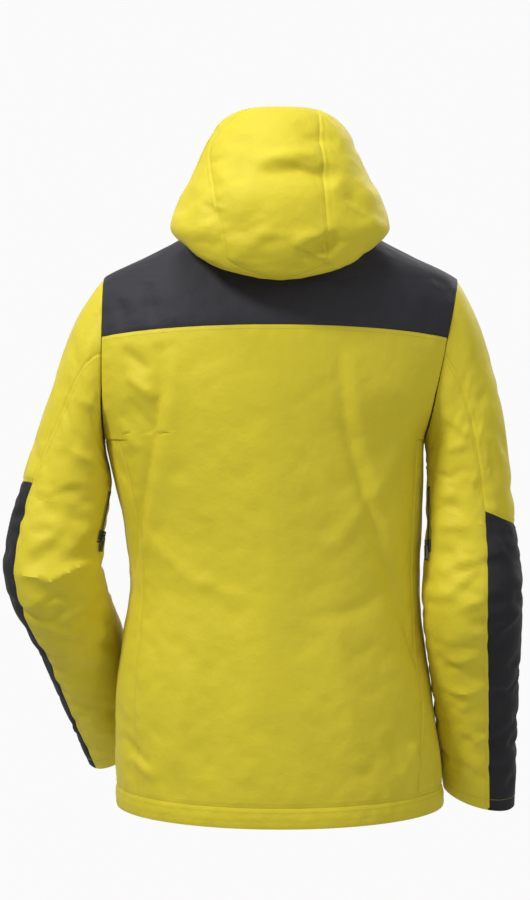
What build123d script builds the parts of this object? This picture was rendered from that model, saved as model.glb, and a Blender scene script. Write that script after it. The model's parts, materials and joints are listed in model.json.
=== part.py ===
from build123d import *
import os
from math import acos, atan2, cos, degrees, hypot, radians, sin, tan

os.makedirs("parts", exist_ok=True)

# An insulated, hooded ski jacket as it stands on a wearer: arms down, left elbow bent, hood open
# behind the neck. Millimetres, +Z up, the front faces -Y and +X is the wearer's left.
# The origin is the middle of the hang loop, inside the collar at the centre back of the neck.
# Each panel is lofted through rings. On a ring it is the strip between an outer and an inner
# ellipse, from one seam to the next.

# ------------------------------------------------------------------ cloth layers
SHELL = 1.6  # face fabric with its membrane
GAP = 0.4  # air between two layers, and between two panels at a seam
FILL_GAP = 1.2  # air between the shell and the insulation
BODY_FILL = 5.8  # insulation in the body
SLEEVE_FILL = 3.8  # insulation in the sleeves
LINING = 1.0
FLEECE = 3.0  # brushed lining of the collar

SHELL_PLY = (0.0, SHELL)
BODY_FILL_PLY = (SHELL + FILL_GAP, SHELL + FILL_GAP + BODY_FILL)
BODY_LINING_PLY = (BODY_FILL_PLY[1] + GAP, BODY_FILL_PLY[1] + GAP + LINING)
SLEEVE_FILL_PLY = (SHELL + FILL_GAP, SHELL + FILL_GAP + SLEEVE_FILL)
SLEEVE_LINING_PLY = (SLEEVE_FILL_PLY[1] + GAP, SLEEVE_FILL_PLY[1] + GAP + LINING)

# ------------------------------------------------------------------ front line
# The front closes on one straight line, which leans back towards the neck.
FRONT_TOP = (-165.0, 10.0)  # a point of it, Y and Z
FRONT_LEAN = 5.07  # degrees from upright
ZIP_SLOT = 16.6  # half width left open between the fronts

# ------------------------------------------------------------------ body rings, hem to neck
# front height, back height, back of the ring in Y, left and right end in X, and the share of a
# layer's depth that is taken sideways and downwards at the ring's ends
BODY_RINGS = [
    (-727, -757, 62, 206, -207, 1.0, 0.0),
    (-703, -732, 61, 206, -205, 1.0, 0.0),
    (-600, -612, 57, 205, -191, 1.0, 0.0),
    (-535, -541, 52, 198, -181, 1.0, 0.0),
    (-470, -470, 48, 188, -175, 1.0, 0.0),
    (-405, -405, 49, 193, -177, 1.0, 0.0),
    (-340, -340, 52, 206, -179, 1.0, 0.0),
    (-284, -284, 55, 219, -182, 1.0, 0.0),
    (-245, -215, 57, 248, -222, 1.0, 0.0),
    (-200, -145, 52, 258, -238, 1.0, 0.0),
    (-150, -112, 44, 252, -246, 1.0, 0.0),
    (-98, -82, 34, 230, -228, 1.0, 0.5),
    (-75, -47, 22, 172, -172, 0.47, 0.88),
    (-45, 0, 12, 88, -88, 0.45, 0.9),
]
HEM, BAND_TOP, ARM_BOTTOM, YOKE_SEAM, ARM_TOP, NECK = 0, 1, 7, 9, 11, 13

# seams of the back and side panels in X, hem band to armhole, one value for each ring
BACK_SEAM_LEFT = (178, 182, 177, 171, 176, 186, 200)
BACK_SEAM_RIGHT = (-171, -178, -170, -162, -164, -168, -172)
FRONT_SEAM_LEFT = (158, 161, 162, 161, 170, 180, 190)
FRONT_SEAM_RIGHT = (-156, -152, -148, -148, -154, -158, -160)

# ------------------------------------------------------------------ armholes
LEFT_ARMHOLE = (221.0, -88.0, 0.0)  # top in X and Z, degrees of lean towards the body
RIGHT_ARMHOLE = (-223.0, -87.0, 12.0)

# ------------------------------------------------------------------ sleeves
# upper rings: outer end and inner end in X and Z, middle in Y, half depth
LEFT_UPPER = [
    ((221.7, -90), (221.7, -284), -72, 60),
    ((258, -146), (220.5, -300), -72, 62),
    ((299, -262), (214, -328), -71, 60),
    ((323, -336), (213, -352), -69, 57),
    ((340, -402), (222, -412), -64, 60),
]
RIGHT_UPPER = [
    ((-225.2, -89), (-184.2, -282), -70, 60),
    ((-252, -150), (-185.5, -296), -70, 62),
    ((-278, -250), (-185, -318), -66, 60),
    ((-294.5, -390), (-185.5, -345), -60, 56),
    ((-300, -440), (-182.5, -422), -52, 59),
]
LEFT_SHOULDER = Vector(215, -75, -165)
LEFT_ELBOW = Vector(284, -60, -437)
LEFT_WRIST = Vector(211, -214, -680)
RIGHT_SHOULDER = Vector(-215, -75, -165)
RIGHT_ELBOW = Vector(-240, -45, -475)
RIGHT_WRIST = Vector(-254, -122, -736)
ELBOW_RADIUS = 61.0
MID_RADIUS = 53.0
WRIST_RADIUS = 44.0
CUFF_SLANT = 18.0  # degrees, the cuff is longer on the outside
CUFF_FACING = 24.0
FACING_PLY = (2.0, 3.2)
ELBOW_GAP = 0.3  # each half of the sleeve ends this far from the elbow's plane
GUARD_RING = 3  # the upper ring where the elbow guard begins
LEFT_GUARD = (-75.0, 42.0)  # round the arm from straight out, backwards is positive
RIGHT_GUARD = (-40.0, 76.0)
SLEEVE_SEAM_BACK = 86.0  # where the two sleeve seams leave the armhole
SLEEVE_SEAM_FRONT = -84.0

# ------------------------------------------------------------------ collar and hood
COLLAR_RINGS = [  # front Y and Z lie on the front line: front height, back height, back Y, half width
    (-45, 0, 12, 88),
    (-4, 41, 11, 85),
    (36, 82, 8, 82),
]
LOOP_HALF = 32.0  # hang loop: half width, height, thickness, and where its bow ends and reaches
LOOP_HEIGHT = 6.0
LOOP_THICK = 1.6
LOOP_END = -1.0
LOOP_REACH = 8.0
HOOD_PIVOT = (-105.0, 45.0)  # Y and Z
HOOD_MOUTH_RADIUS = 129.0  # the mouth is cut round the pivot, so the hood turns clear of the collar
HOOD_RINGS = [  # height, half width, half depth, middle in Y
    (-88, 34, 14, 76),
    (-74, 80, 32, 68),
    (-50, 113, 62, 46),
    (-25, 133, 84, 24),
    (6, 125, 96, 8),
    (45, 108, 92, 0),
    (90, 87, 66, 4),
    (123, 46, 22, 16),
]
HOOD_SEAM_LEFT = [(78, 160), (86, 60), (74, -30), (60, -110)]
HOOD_SEAM_RIGHT = [(-44, 160), (-50, 60), (-56, -30), (-58, -110)]
HOOD_SHELL = 1.4
HOOD_LINING = 0.8
HOOD_LIFT = 1.5  # the hood lies this far off the shoulders
HOOD_REACH = 300.0
BRIM = 9.0

# ------------------------------------------------------------------ zips
CHAIN_HALF = 2.6
CHAIN_THICK = 2.4
TAPE_THICK = 1.0
TAPE_DEPTH = 0.7  # the tapes lie this far under the front line
SMALL_TAPE_HALF = 5.2
POCKET_LOW = -528.0  # the hand pockets' zips, heights of their ends
POCKET_HIGH = -370.0
POCKET_LIFT = 1.0
POCKET_SPAN = 6.0  # the front's slope across the zip is taken this far each side of it
POCKET_BAG_RINGS = (3, 4, 5)
POCKET_BAG_PLY = (12.0, 13.2)
POCKET_BAG_X = (60, 145)
SKIRT_RINGS = (2, 3)
SKIRT_PLY = (15.0, 16.2)
SLOT_DEPTH = 13.0  # the cloth is cut this far under a small zip, and this far above it
SLOT_RISE = 8.0
SMALL_ZIP_STOP = 2.0  # bar that joins the two tapes at the top of a small zip
PIT_TURN_LOW = 158.0  # where the pit zips lie round the arm from straight out
PIT_TURN_HIGH = 165.0
PIT_RINGS = (4, 3)  # upper sleeve rings at their lower and upper ends
PIT_LIFT = 1.2
PIT_SLIDER_UP = 8.0
PIT_TAB = 20.0
CHAIN_TOP = 0.7  # the teeth stand this far out of the front line
ZIP_LOW = -724.0  # heights of the front zip's ends
ZIP_HIGH = 34.0
ZIP_BOX_HIGH = 9.6
ZIP_BOX_DEPTH = (-2.2, 1.2)
FLAP_START = 12.0  # storm flap: from above the box to just under the zip's top
FLAP_SHORT = 2.0
FLAP_MARGIN = 1.0
FLAP_DEPTH = (-5.4, -3.9)
CHIN_GUARD = 12.0  # chin guard: height on the zip, rise past it, half width and depth
CHIN_RISE = 2.0
CHIN_HALF = 13.0
CHIN_DEPTH = (1.2, 2.6)
FRONT_SLIDER_DOWN = 22.0  # from the top of its zip to the middle of a closed slider
POCKET_SLIDER_DOWN = 9.0
SLIDER_HALF = 4.6
SLIDER_LENGTH = 13.0
SLIDER_THICK = 1.5
SLIDER_CORNER = 2.0
LUG_UP = 2.5
LUG_HALF = 1.2
LUG_LENGTH = 6.0
LUG_HEIGHT = 4.4
PIVOT_HEIGHT = 4.6
FORK_HALF = 3.2
FORK_LENGTH = 11.0
FORK_THICK = 2.2
FORK_BAR = 3.0  # the bar that closes the fork
TAB_CORNER = 2.5
FRONT_TAB = 30.0
POCKET_CORD = 27.0
POCKET_PULL_LIFT = 35.0  # degrees, how far the pocket pulls stand off the zip
CORD_RADIUS = 1.3
BAR_HALF = 5.0
BAR_RADIUS = 2.0
PLATE_LIFT = 0.35  # air between a slider's plate and the teeth
PIVOT_PIN = 0.8
LUG_HOLE = 1.15
LUG_CUT = 5.0  # half length of the hole through the lug


# ================================================================== helpers
def front_y(z):
    """Y of the front line at a height."""
    return FRONT_TOP[0] - (FRONT_TOP[1] - z) * tan(radians(FRONT_LEAN))


def save(part, name):
    part.label = name
    export_step(part, f"parts/{name}.step")
    print(f"{name:26s} solids {len(part.solids())}  volume {part.volume / 1000:9.2f} cm3")


class Ring:
    """An ellipse on a plane: the line of a layer's outer or inner face on one ring."""

    def __init__(self, plane, x, y, a, b):
        self.plane, self.x, self.y, self.a, self.b = plane, x, y, a, b

    def angle_at(self, x, behind):
        """Degrees round the ring of the point with this X, behind or in front. An X past the
        ring's end gives the end itself, half a seam gap short of the panel that meets it."""
        end = cos(GAP / 2 / self.b)
        turn = degrees(acos(max(-end, min(end, (x - self.x) / self.a))))
        return turn if behind else -turn


def strip(outer, inner, outer_ends, inner_ends):
    """Face between two rings of one plane, counter-clockwise from the first end to the last."""
    with BuildSketch(outer.plane) as face:
        with BuildLine():
            arcs = []
            for ring, (start, end) in ((outer, outer_ends), (inner, inner_ends)):
                span = end - start if end > start else end - start + 360
                arcs.append(
                    EllipticalCenterArc(
                        (ring.x, ring.y), ring.a, ring.b, start_angle=start, arc_size=span
                    )
                )
            Line(arcs[0] @ 0, arcs[1] @ 0)
            Line(arcs[0] @ 1, arcs[1] @ 1)
        make_face()
    return face.sketch.faces()[0]


def lofted(*runs):
    """One solid for each run of faces."""
    with BuildPart() as panel:
        for faces in runs:
            solid = loft(faces, ruled=True, mode=Mode.PRIVATE)
            if solid.volume < 0:  # it came inside out, so it is lofted from the other end
                solid = loft(faces[::-1], ruled=True, mode=Mode.PRIVATE)
            add(solid)
    return panel.part


def cut(part, *tools):
    """The part without the tools."""
    with BuildPart() as rest:
        add(part)
        for tool in tools:
            add(tool, mode=Mode.SUBTRACT)
    return rest.part


def within(part, tool):
    """What of the part lies inside the tool."""
    with BuildPart() as inside:
        add(part)
        add(tool, mode=Mode.INTERSECT)
    return inside.part


def block_on(plane, x_range, y_range, z_range):
    """A box given by its ranges on a plane."""
    size = [high - low for low, high in (x_range, y_range, z_range)]
    middle = [(high + low) / 2 for low, high in (x_range, y_range, z_range)]
    with BuildPart() as block:
        with BuildSketch(plane.offset(z_range[0])):
            with Locations((middle[0], middle[1])):
                Rectangle(size[0], size[1])
        extrude(amount=size[2])
    return block.part


# ================================================================== body
def armhole_x(armhole, z):
    """X of an armhole's plane at a height."""
    x, top, lean = armhole
    inwards = -1 if x > 0 else 1
    return x + inwards * (top - z) * tan(radians(lean))


def front_to_back_plane(y_front, z_front, y_back, z_back):
    """Plane of a ring through its front and back points, and its half depth."""
    turn = atan2(z_back - z_front, y_back - y_front)
    middle = (0, (y_front + y_back) / 2, (z_front + z_back) / 2)
    plane = Plane(origin=middle, x_dir=(1, 0, 0), z_dir=(0, -sin(turn), cos(turn)))
    return plane, hypot(y_back - y_front, z_back - z_front) / 2


def body_ring(index, depth):
    """The body's ring at a layer's depth."""
    z_front, z_back, y_back, left, right, sideways, down = BODY_RINGS[index]
    z_front -= depth * down
    z_back -= depth * down
    plane, half = front_to_back_plane(front_y(z_front) + depth, z_front, y_back - depth, z_back)
    return Ring(plane, (left + right) / 2, 0, (left - right) / 2 - depth * sideways, half)


def body_face(index, ply, first, last):
    """A panel's strip on one body ring. first and last are (X, behind) of its two seams,
    counter-clockwise from above: left side, back, right side, front."""
    outer = body_ring(index, ply[0])
    inner = body_ring(index, ply[1])
    shift = inner.plane.origin - outer.plane.origin
    inner.y = shift.dot(outer.plane.y_dir)
    ends = [(ring.angle_at(*first), ring.angle_at(*last)) for ring in (outer, inner)]
    return strip(outer, inner, *ends)


PAST_END = 1000.0  # an X outside every ring, for where front and back meet


def armhole_limit(index, side, behind):
    """X where a panel ends at the armhole, or past the end of a ring that misses it."""
    if not ARM_BOTTOM < index <= ARM_TOP:
        return side * PAST_END
    armhole = LEFT_ARMHOLE if side > 0 else RIGHT_ARMHOLE
    ring = body_ring(index, 0)
    x = armhole_x(armhole, ring.plane.origin.Z)
    for _ in range(3):  # the ring is tilted, so the height at its end follows from X
        turn = radians(ring.angle_at(x, behind))
        end = ring.plane.from_local_coords((ring.x + ring.a * cos(turn), ring.b * sin(turn), 0))
        x = armhole_x(armhole, end.Z)
    return x


LOWER = range(BAND_TOP, ARM_BOTTOM + 1)
CHEST = range(ARM_BOTTOM, YOKE_SEAM + 1)
YOKE = range(YOKE_SEAM, NECK + 1)


# Each seam gives, for a ring, the X and whether the point is behind. A seam is asked for from
# the panel on one side of it, and half a gap is taken off.
def back_seam(side, outwards):
    seams = BACK_SEAM_LEFT if side > 0 else BACK_SEAM_RIGHT
    return lambda i: (seams[i - BAND_TOP] + side * outwards * GAP / 2, True)


def front_seam(side, outwards):
    seams = FRONT_SEAM_LEFT if side > 0 else FRONT_SEAM_RIGHT
    return lambda i: (seams[i - BAND_TOP] + side * outwards * GAP / 2, False)


def armhole_end(side, behind):
    return lambda i: (armhole_limit(i, side, behind), behind)


def zip_edge(side, half=ZIP_SLOT):
    return lambda i: (side * half, False)


def panel_run(rings, ply, first, last):
    """Faces of a panel, where first and last give each ring's seam."""
    return [body_face(i, ply, first(i), last(i)) for i in rings]


def lowered(faces):
    """The same faces with the last one drawn down by half a seam gap."""
    return faces[:-1] + [faces[-1].moved(Location((0, 0, -GAP / 2)))]


def raised(faces):
    """The same faces with the first one drawn up by half a seam gap."""
    return [faces[0].moved(Location((0, 0, GAP / 2)))] + faces[1:]


lower_back = panel_run(LOWER, SHELL_PLY, back_seam(1, -1), back_seam(-1, -1))
upper_back = panel_run(CHEST, SHELL_PLY, armhole_end(1, True), armhole_end(-1, True))
save(lofted(lowered(raised(lower_back)), lowered(upper_back)), "back_panel")
save(lofted(raised(panel_run(YOKE, SHELL_PLY, armhole_end(1, True), armhole_end(-1, True)))), "back_yoke")


def front_surface(x, z):
    """Point of the front's outer face at an X and a height below the armhole."""
    rings = [body_ring(i, 0) for i in LOWER]
    heights = [ring.plane.origin.Z for ring in rings]
    at = max(i for i in range(len(rings) - 1) if heights[i] <= z)
    share = (z - heights[at]) / (heights[at + 1] - heights[at])
    depths = []
    for ring in rings[at : at + 2]:
        drop = ring.b * (1 - ((x - ring.x) / ring.a) ** 2) ** 0.5
        depths.append(ring.plane.origin.Y - drop)
    return Vector(x, depths[0] + share * (depths[1] - depths[0]), z)


def pocket_plane(side):
    """Plane of a hand pocket's zip: origin at its lower end, y up the zip, z away from the body."""
    seams = FRONT_SEAM_LEFT if side > 0 else FRONT_SEAM_RIGHT
    low = front_surface(seams[2], POCKET_LOW)
    high_x = seams[5] - (POCKET_HIGH - BODY_RINGS[6][0]) / (BODY_RINGS[5][0] - BODY_RINGS[6][0]) * (
        seams[5] - seams[4]
    )
    high = front_surface(high_x, POCKET_HIGH)
    up = (high - low).normalized()
    ends = [front_surface(high_x + step * POCKET_SPAN, POCKET_HIGH) for step in (-side, side)]
    outwards = (ends[1] - ends[0]).cross(up) * side
    outwards = outwards.normalized()
    return Plane(origin=low + outwards * POCKET_LIFT, x_dir=up.cross(outwards), z_dir=outwards)


def slot_block(plane, length):
    """The slot in which a small zip lies."""
    half = SMALL_TAPE_HALF + GAP
    return block_on(plane, (-half, half), (-GAP, length + GAP), (-SLOT_DEPTH, SLOT_RISE))


pocket_planes = {"left": pocket_plane(1), "right": pocket_plane(-1)}
pocket_length = POCKET_HIGH - POCKET_LOW
pocket_slots = {
    name: slot_block(plane, pocket_length) for name, plane in pocket_planes.items()
}

for side, name in ((1, "left"), (-1, "right")):
    # on the left each panel runs from the front towards the back, counter-clockwise from above
    side_ends = [front_seam(side, 1), back_seam(side, 1)]
    front_ends = [zip_edge(side), front_seam(side, -1)]
    chest_ends = [zip_edge(side), armhole_end(side, False)]
    bag_ends = [zip_edge(side, POCKET_BAG_X[0]), zip_edge(side, POCKET_BAG_X[1])]
    if side < 0:
        for ends in (side_ends, front_ends, chest_ends, bag_ends):
            ends.reverse()
    side_panel = lofted(raised(panel_run(LOWER, SHELL_PLY, *side_ends)))
    save(cut(side_panel, pocket_slots[name]), f"{name}_side_panel")
    lower_front = lowered(raised(panel_run(LOWER, SHELL_PLY, *front_ends)))
    chest = lowered(panel_run(CHEST, SHELL_PLY, *chest_ends))
    save(cut(lofted(lower_front, chest), pocket_slots[name]), f"{name}_front_panel")
    save(lofted(raised(panel_run(YOKE, SHELL_PLY, *chest_ends))), f"{name}_front_yoke")
    save(lofted(panel_run(POCKET_BAG_RINGS, POCKET_BAG_PLY, *bag_ends)), f"{name}_pocket_bag")

round_body = (zip_edge(1), zip_edge(-1))
save(lofted(lowered(panel_run((HEM, BAND_TOP), SHELL_PLY, *round_body))), "hem_band")
save(lofted(panel_run(SKIRT_RINGS, SKIRT_PLY, *round_body)), "powder_skirt")

UPPER = range(ARM_BOTTOM, NECK + 1)
for ply, name in ((BODY_FILL_PLY, "torso_insulation"), (BODY_LINING_PLY, "torso_lining")):
    wrap = panel_run(range(HEM, ARM_BOTTOM + 1), ply, *round_body)
    backs = [
        raised(panel_run(rings, ply, armhole_end(1, True), armhole_end(-1, True)))
        for rings in (CHEST, YOKE)
    ]
    left = panel_run(UPPER, ply, zip_edge(1), armhole_end(1, False))
    right = panel_run(UPPER, ply, armhole_end(-1, False), zip_edge(-1))
    wadding = lofted(lowered(wrap), lowered(backs[0]), backs[1], raised(left), raised(right))
    if ply is BODY_FILL_PLY:
        wadding = cut(wadding, *pocket_slots.values())
    save(wadding, name)


# ================================================================== collar and hang loop
def collar_face(index, ply, lift):
    """A collar ring's strip, open at the zip."""
    z_front, z_back, y_back, half_width = COLLAR_RINGS[index]
    faces = []
    for depth in ply:
        plane, half = front_to_back_plane(front_y(z_front) + depth, z_front, y_back - depth, z_back)
        faces.append(Ring(plane.offset(lift), 0, 0, half_width - depth, half))
    ends = [(ring.angle_at(ZIP_SLOT, False), ring.angle_at(-ZIP_SLOT, False)) for ring in faces]
    return strip(faces[0], faces[1], *ends)


for ply, name in ((SHELL_PLY, "collar"), ((SHELL + GAP, SHELL + GAP + FLEECE), "collar_lining")):
    lifts = (GAP, 0, 0)
    save(lofted([collar_face(i, ply, lift) for i, lift in enumerate(lifts)]), name)

with BuildPart() as hang_loop:
    with BuildSketch(Plane.XY.offset(-LOOP_HEIGHT / 2)):
        with BuildLine():
            outer_bow = ThreePointArc((-LOOP_HALF, LOOP_END), (0, -LOOP_REACH), (LOOP_HALF, LOOP_END))
            inner_bow = ThreePointArc(
                (-LOOP_HALF + LOOP_THICK, LOOP_END),
                (0, -LOOP_REACH + LOOP_THICK),
                (LOOP_HALF - LOOP_THICK, LOOP_END),
            )
            Line(outer_bow @ 0, inner_bow @ 0)
            Line(outer_bow @ 1, inner_bow @ 1)
        make_face()
    extrude(amount=LOOP_HEIGHT)
save(hang_loop.part, "hang_loop")

# ================================================================== front zip
lean = radians(FRONT_LEAN)
zip_plane = Plane(
    origin=(0, front_y(ZIP_LOW), ZIP_LOW), x_dir=(1, 0, 0), z_dir=(0, -cos(lean), sin(lean))
)
zip_length = (ZIP_HIGH - ZIP_LOW) / cos(lean)


def toothed_tape(plane, side, tape_edge, start, end):
    """One tape of a zip with its teeth, on the zip's plane."""
    teeth = block_on(
        plane,
        sorted((side * GAP / 2, side * CHAIN_HALF)),
        (start, end),
        (CHAIN_TOP - CHAIN_THICK, CHAIN_TOP),
    )
    cloth = block_on(
        plane,
        sorted((side * (CHAIN_HALF - GAP), side * tape_edge)),
        (start, end),
        (-TAPE_DEPTH - TAPE_THICK, -TAPE_DEPTH),
    )
    with BuildPart() as tape:
        add(teeth)
        add(cloth)
    return tape.part


def slider_body(plane):
    """A zip slider with its lug, its middle at the plane's origin."""
    plate_low = CHAIN_TOP + PLATE_LIFT
    with BuildPart() as slider:
        with BuildSketch(plane.offset(plate_low)):
            RectangleRounded(2 * SLIDER_HALF, SLIDER_LENGTH, SLIDER_CORNER)
        extrude(amount=SLIDER_THICK)
        for side in (1, -1):
            with BuildSketch(plane.offset(-TAPE_DEPTH + GAP)):
                with Locations((side * (CHAIN_HALF + SLIDER_HALF + GAP) / 2, 0)):
                    Rectangle(SLIDER_HALF - CHAIN_HALF - GAP, SLIDER_LENGTH - 2)
            extrude(amount=plate_low + TAPE_DEPTH)
        with BuildSketch(plane.offset(plate_low + SLIDER_THICK / 2)):
            with Locations((0, LUG_UP)):
                Rectangle(2 * LUG_HALF, LUG_LENGTH)
        extrude(amount=LUG_HEIGHT)
        eye = Plane(origin=plane.from_local_coords((-LUG_CUT, LUG_UP, PIVOT_HEIGHT)), z_dir=plane.x_dir)
        with BuildSketch(eye):
            Circle(LUG_HOLE)
        extrude(amount=2 * LUG_CUT, mode=Mode.SUBTRACT)
    return slider.part


def puller_plane(plane, lift):
    """A puller's own plane: origin on its pin, y back along the puller, z away from the zip,
    turned up from the zip by lift degrees."""
    turn = radians(lift)
    pin = plane.from_local_coords((0, LUG_UP, PIVOT_HEIGHT))
    up = plane.y_dir * cos(turn) - plane.z_dir * sin(turn)
    outwards = plane.z_dir * cos(turn) + plane.y_dir * sin(turn)
    return Plane(origin=pin, x_dir=up.cross(outwards), z_dir=outwards)


def puller_body(plane, tab_length, cord):
    """A puller on its pin: a fork and a flat tab, or a fork and a cord with a cross bar."""
    arm_middle = (LUG_HALF + GAP + FORK_HALF) / 2
    with BuildPart() as puller:
        with BuildSketch(Plane(origin=plane.from_local_coords((-FORK_HALF, 0, 0)), z_dir=plane.x_dir)):
            Circle(PIVOT_PIN)
        extrude(amount=2 * FORK_HALF)
        for side in (1, -1):
            with BuildSketch(plane.offset(-FORK_THICK / 2)):
                with Locations((side * arm_middle, -FORK_LENGTH / 2)):
                    Rectangle(FORK_HALF - LUG_HALF - GAP, FORK_LENGTH + 2 * PIVOT_PIN)
            extrude(amount=FORK_THICK)
        with BuildSketch(plane.offset(-FORK_THICK / 2)):
            with Locations((0, -FORK_LENGTH)):
                Rectangle(2 * FORK_HALF, FORK_BAR)
            if not cord:
                with Locations((0, -FORK_LENGTH - tab_length / 2)):
                    RectangleRounded(2 * FORK_HALF + 1, tab_length, TAB_CORNER)
        extrude(amount=FORK_THICK)
        if cord:
            end = plane.from_local_coords((0, -FORK_LENGTH - tab_length, 0))
            with BuildSketch(Plane(origin=end, z_dir=plane.y_dir)):
                Circle(CORD_RADIUS)
            extrude(amount=tab_length)
            with BuildSketch(Plane(origin=end - plane.x_dir * BAR_HALF, z_dir=plane.x_dir)):
                Circle(BAR_RADIUS)
            extrude(amount=2 * BAR_HALF)
    return puller.part


def along(plane, y):
    """The same plane with its origin moved up along the zip."""
    return Plane(origin=plane.from_local_coords((0, y, 0)), x_dir=plane.x_dir, z_dir=plane.z_dir)


front_slider_plane = along(zip_plane, zip_length - FRONT_SLIDER_DOWN)
for side, name in ((1, "left"), (-1, "right")):
    save(
        toothed_tape(zip_plane, side, ZIP_SLOT - GAP, ZIP_BOX_HIGH + GAP, zip_length),
        f"{name}_front_zip_tape",
    )
save(slider_body(front_slider_plane), "front_zip_slider")
save(puller_body(puller_plane(front_slider_plane, 0), FRONT_TAB, False), "front_zip_puller")
save(
    block_on(zip_plane, (-CHAIN_HALF - 1, CHAIN_HALF + 1), (0, ZIP_BOX_HIGH), ZIP_BOX_DEPTH),
    "front_zip_box",
)
save(
    block_on(
        zip_plane,
        (FLAP_MARGIN - ZIP_SLOT, ZIP_SLOT - FLAP_MARGIN),
        (FLAP_START, zip_length - FLAP_SHORT),
        FLAP_DEPTH,
    ),
    "storm_flap",
)
save(
    block_on(
        zip_plane,
        (-CHIN_HALF, CHIN_HALF),
        (zip_length - CHIN_GUARD, zip_length + CHIN_RISE),
        CHIN_DEPTH,
    ),
    "chin_guard",
)

# ================================================================== hand pockets
def small_zip(plane, length):
    """Both tapes of a small zip, joined by a stop at the top."""
    with BuildPart() as tapes:
        for side in (1, -1):
            add(toothed_tape(plane, side, SMALL_TAPE_HALF, 0, length))
        with BuildSketch(plane.offset(-TAPE_DEPTH - TAPE_THICK)):
            with Locations((0, length - SMALL_ZIP_STOP / 2)):
                Rectangle(2 * CHAIN_HALF, SMALL_ZIP_STOP)
        extrude(amount=TAPE_THICK)
    return tapes.part


for name, plane in pocket_planes.items():
    save(small_zip(plane, pocket_length), f"{name}_pocket_zip")
    slider_plane = along(plane, pocket_length - POCKET_SLIDER_DOWN)
    save(slider_body(slider_plane), f"{name}_pocket_slider")
    puller = puller_body(puller_plane(slider_plane, POCKET_PULL_LIFT), POCKET_CORD, True)
    save(puller, f"{name}_pocket_puller")

# ================================================================== sleeves
UPPER_END, FORE_START, FACING_TOP, CUFF = 5, 6, 8, 9


def arm_rings(side, upper, shoulder, elbow, wrist):
    """Rings down one arm as (plane, half width, half depth): five of the upper arm, the two ends
    at the elbow, the middle of the forearm, the top of the cuff facing, and the cuff. On each
    plane x points outwards and y to the back."""
    rings = []
    for (outer_x, outer_z), (inner_x, inner_z), y, half_depth in upper:
        outwards = Vector(outer_x - inner_x, 0, outer_z - inner_z)
        middle = ((outer_x + inner_x) / 2, y, (outer_z + inner_z) / 2)
        plane = Plane(origin=middle, x_dir=outwards, z_dir=outwards.cross(Vector(0, 1, 0)))
        rings.append((plane, outwards.length / 2, half_depth))
    down_upper = (elbow - shoulder).normalized()
    down_fore = (wrist - elbow).normalized()
    bend = (down_upper + down_fore).normalized()

    def round_ring(middle, down, radius, slant):
        outwards = Vector(side, 0, 0)
        outwards = (outwards - down * outwards.dot(down)).normalized()
        tilt = radians(slant)
        along_ring = outwards * cos(tilt) + down * sin(tilt)
        back = outwards.cross(down) * side
        plane = Plane(origin=middle, x_dir=along_ring, z_dir=along_ring.cross(back))
        return (plane, radius / cos(tilt), radius)

    rings.append(round_ring(elbow - bend * ELBOW_GAP, bend, ELBOW_RADIUS, 0))
    rings.append(round_ring(elbow + bend * ELBOW_GAP, bend, ELBOW_RADIUS, 0))
    rings.append(round_ring((elbow + wrist) / 2, down_fore, MID_RADIUS, 0))
    rise = CUFF_FACING / (wrist - elbow).length
    facing_radius = WRIST_RADIUS + 2 * rise * (MID_RADIUS - WRIST_RADIUS)
    facing_middle = wrist - down_fore * CUFF_FACING
    rings.append(round_ring(facing_middle, down_fore, facing_radius, CUFF_SLANT))
    rings.append(round_ring(wrist, down_fore, WRIST_RADIUS, CUFF_SLANT))
    return rings


def arm_face(ring, ply, start, end):
    """A sleeve panel's strip on one ring, between two angles from straight out."""
    plane, half_width, half_depth = ring
    slack = degrees(GAP / 2 / half_depth)
    ends = (start + slack, end - slack)
    outer, inner = (Ring(plane, 0, 0, half_width - depth, half_depth - depth) for depth in ply)
    return strip(outer, inner, ends, ends)


def tube(rings, ply):
    """A layer that goes all the way round the arm, as its back half and its front half."""
    back = [arm_face(ring, ply, 0, 180) for ring in rings]
    front = [arm_face(ring, ply, 180, 360) for ring in rings]
    return lofted(back, front)


def arm_point(ring, turn):
    plane, half_width, half_depth = ring
    angle = radians(turn)
    return plane.from_local_coords((half_width * cos(angle), half_depth * sin(angle), 0))


def pit_plane(rings):
    """Plane of a pit zip: origin at its lower end, y up the zip, z away from the arm."""
    low = arm_point(rings[PIT_RINGS[0]], PIT_TURN_LOW)
    high = arm_point(rings[PIT_RINGS[1]], PIT_TURN_HIGH)
    centre = (rings[PIT_RINGS[0]][0].origin + rings[PIT_RINGS[1]][0].origin) / 2
    up = (high - low).normalized()
    outwards = (low + high) / 2 - centre
    outwards = (outwards - up * outwards.dot(up)).normalized()
    plane = Plane(origin=low + outwards * PIT_LIFT, x_dir=up.cross(outwards), z_dir=outwards)
    return plane, (high - low).length


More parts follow.
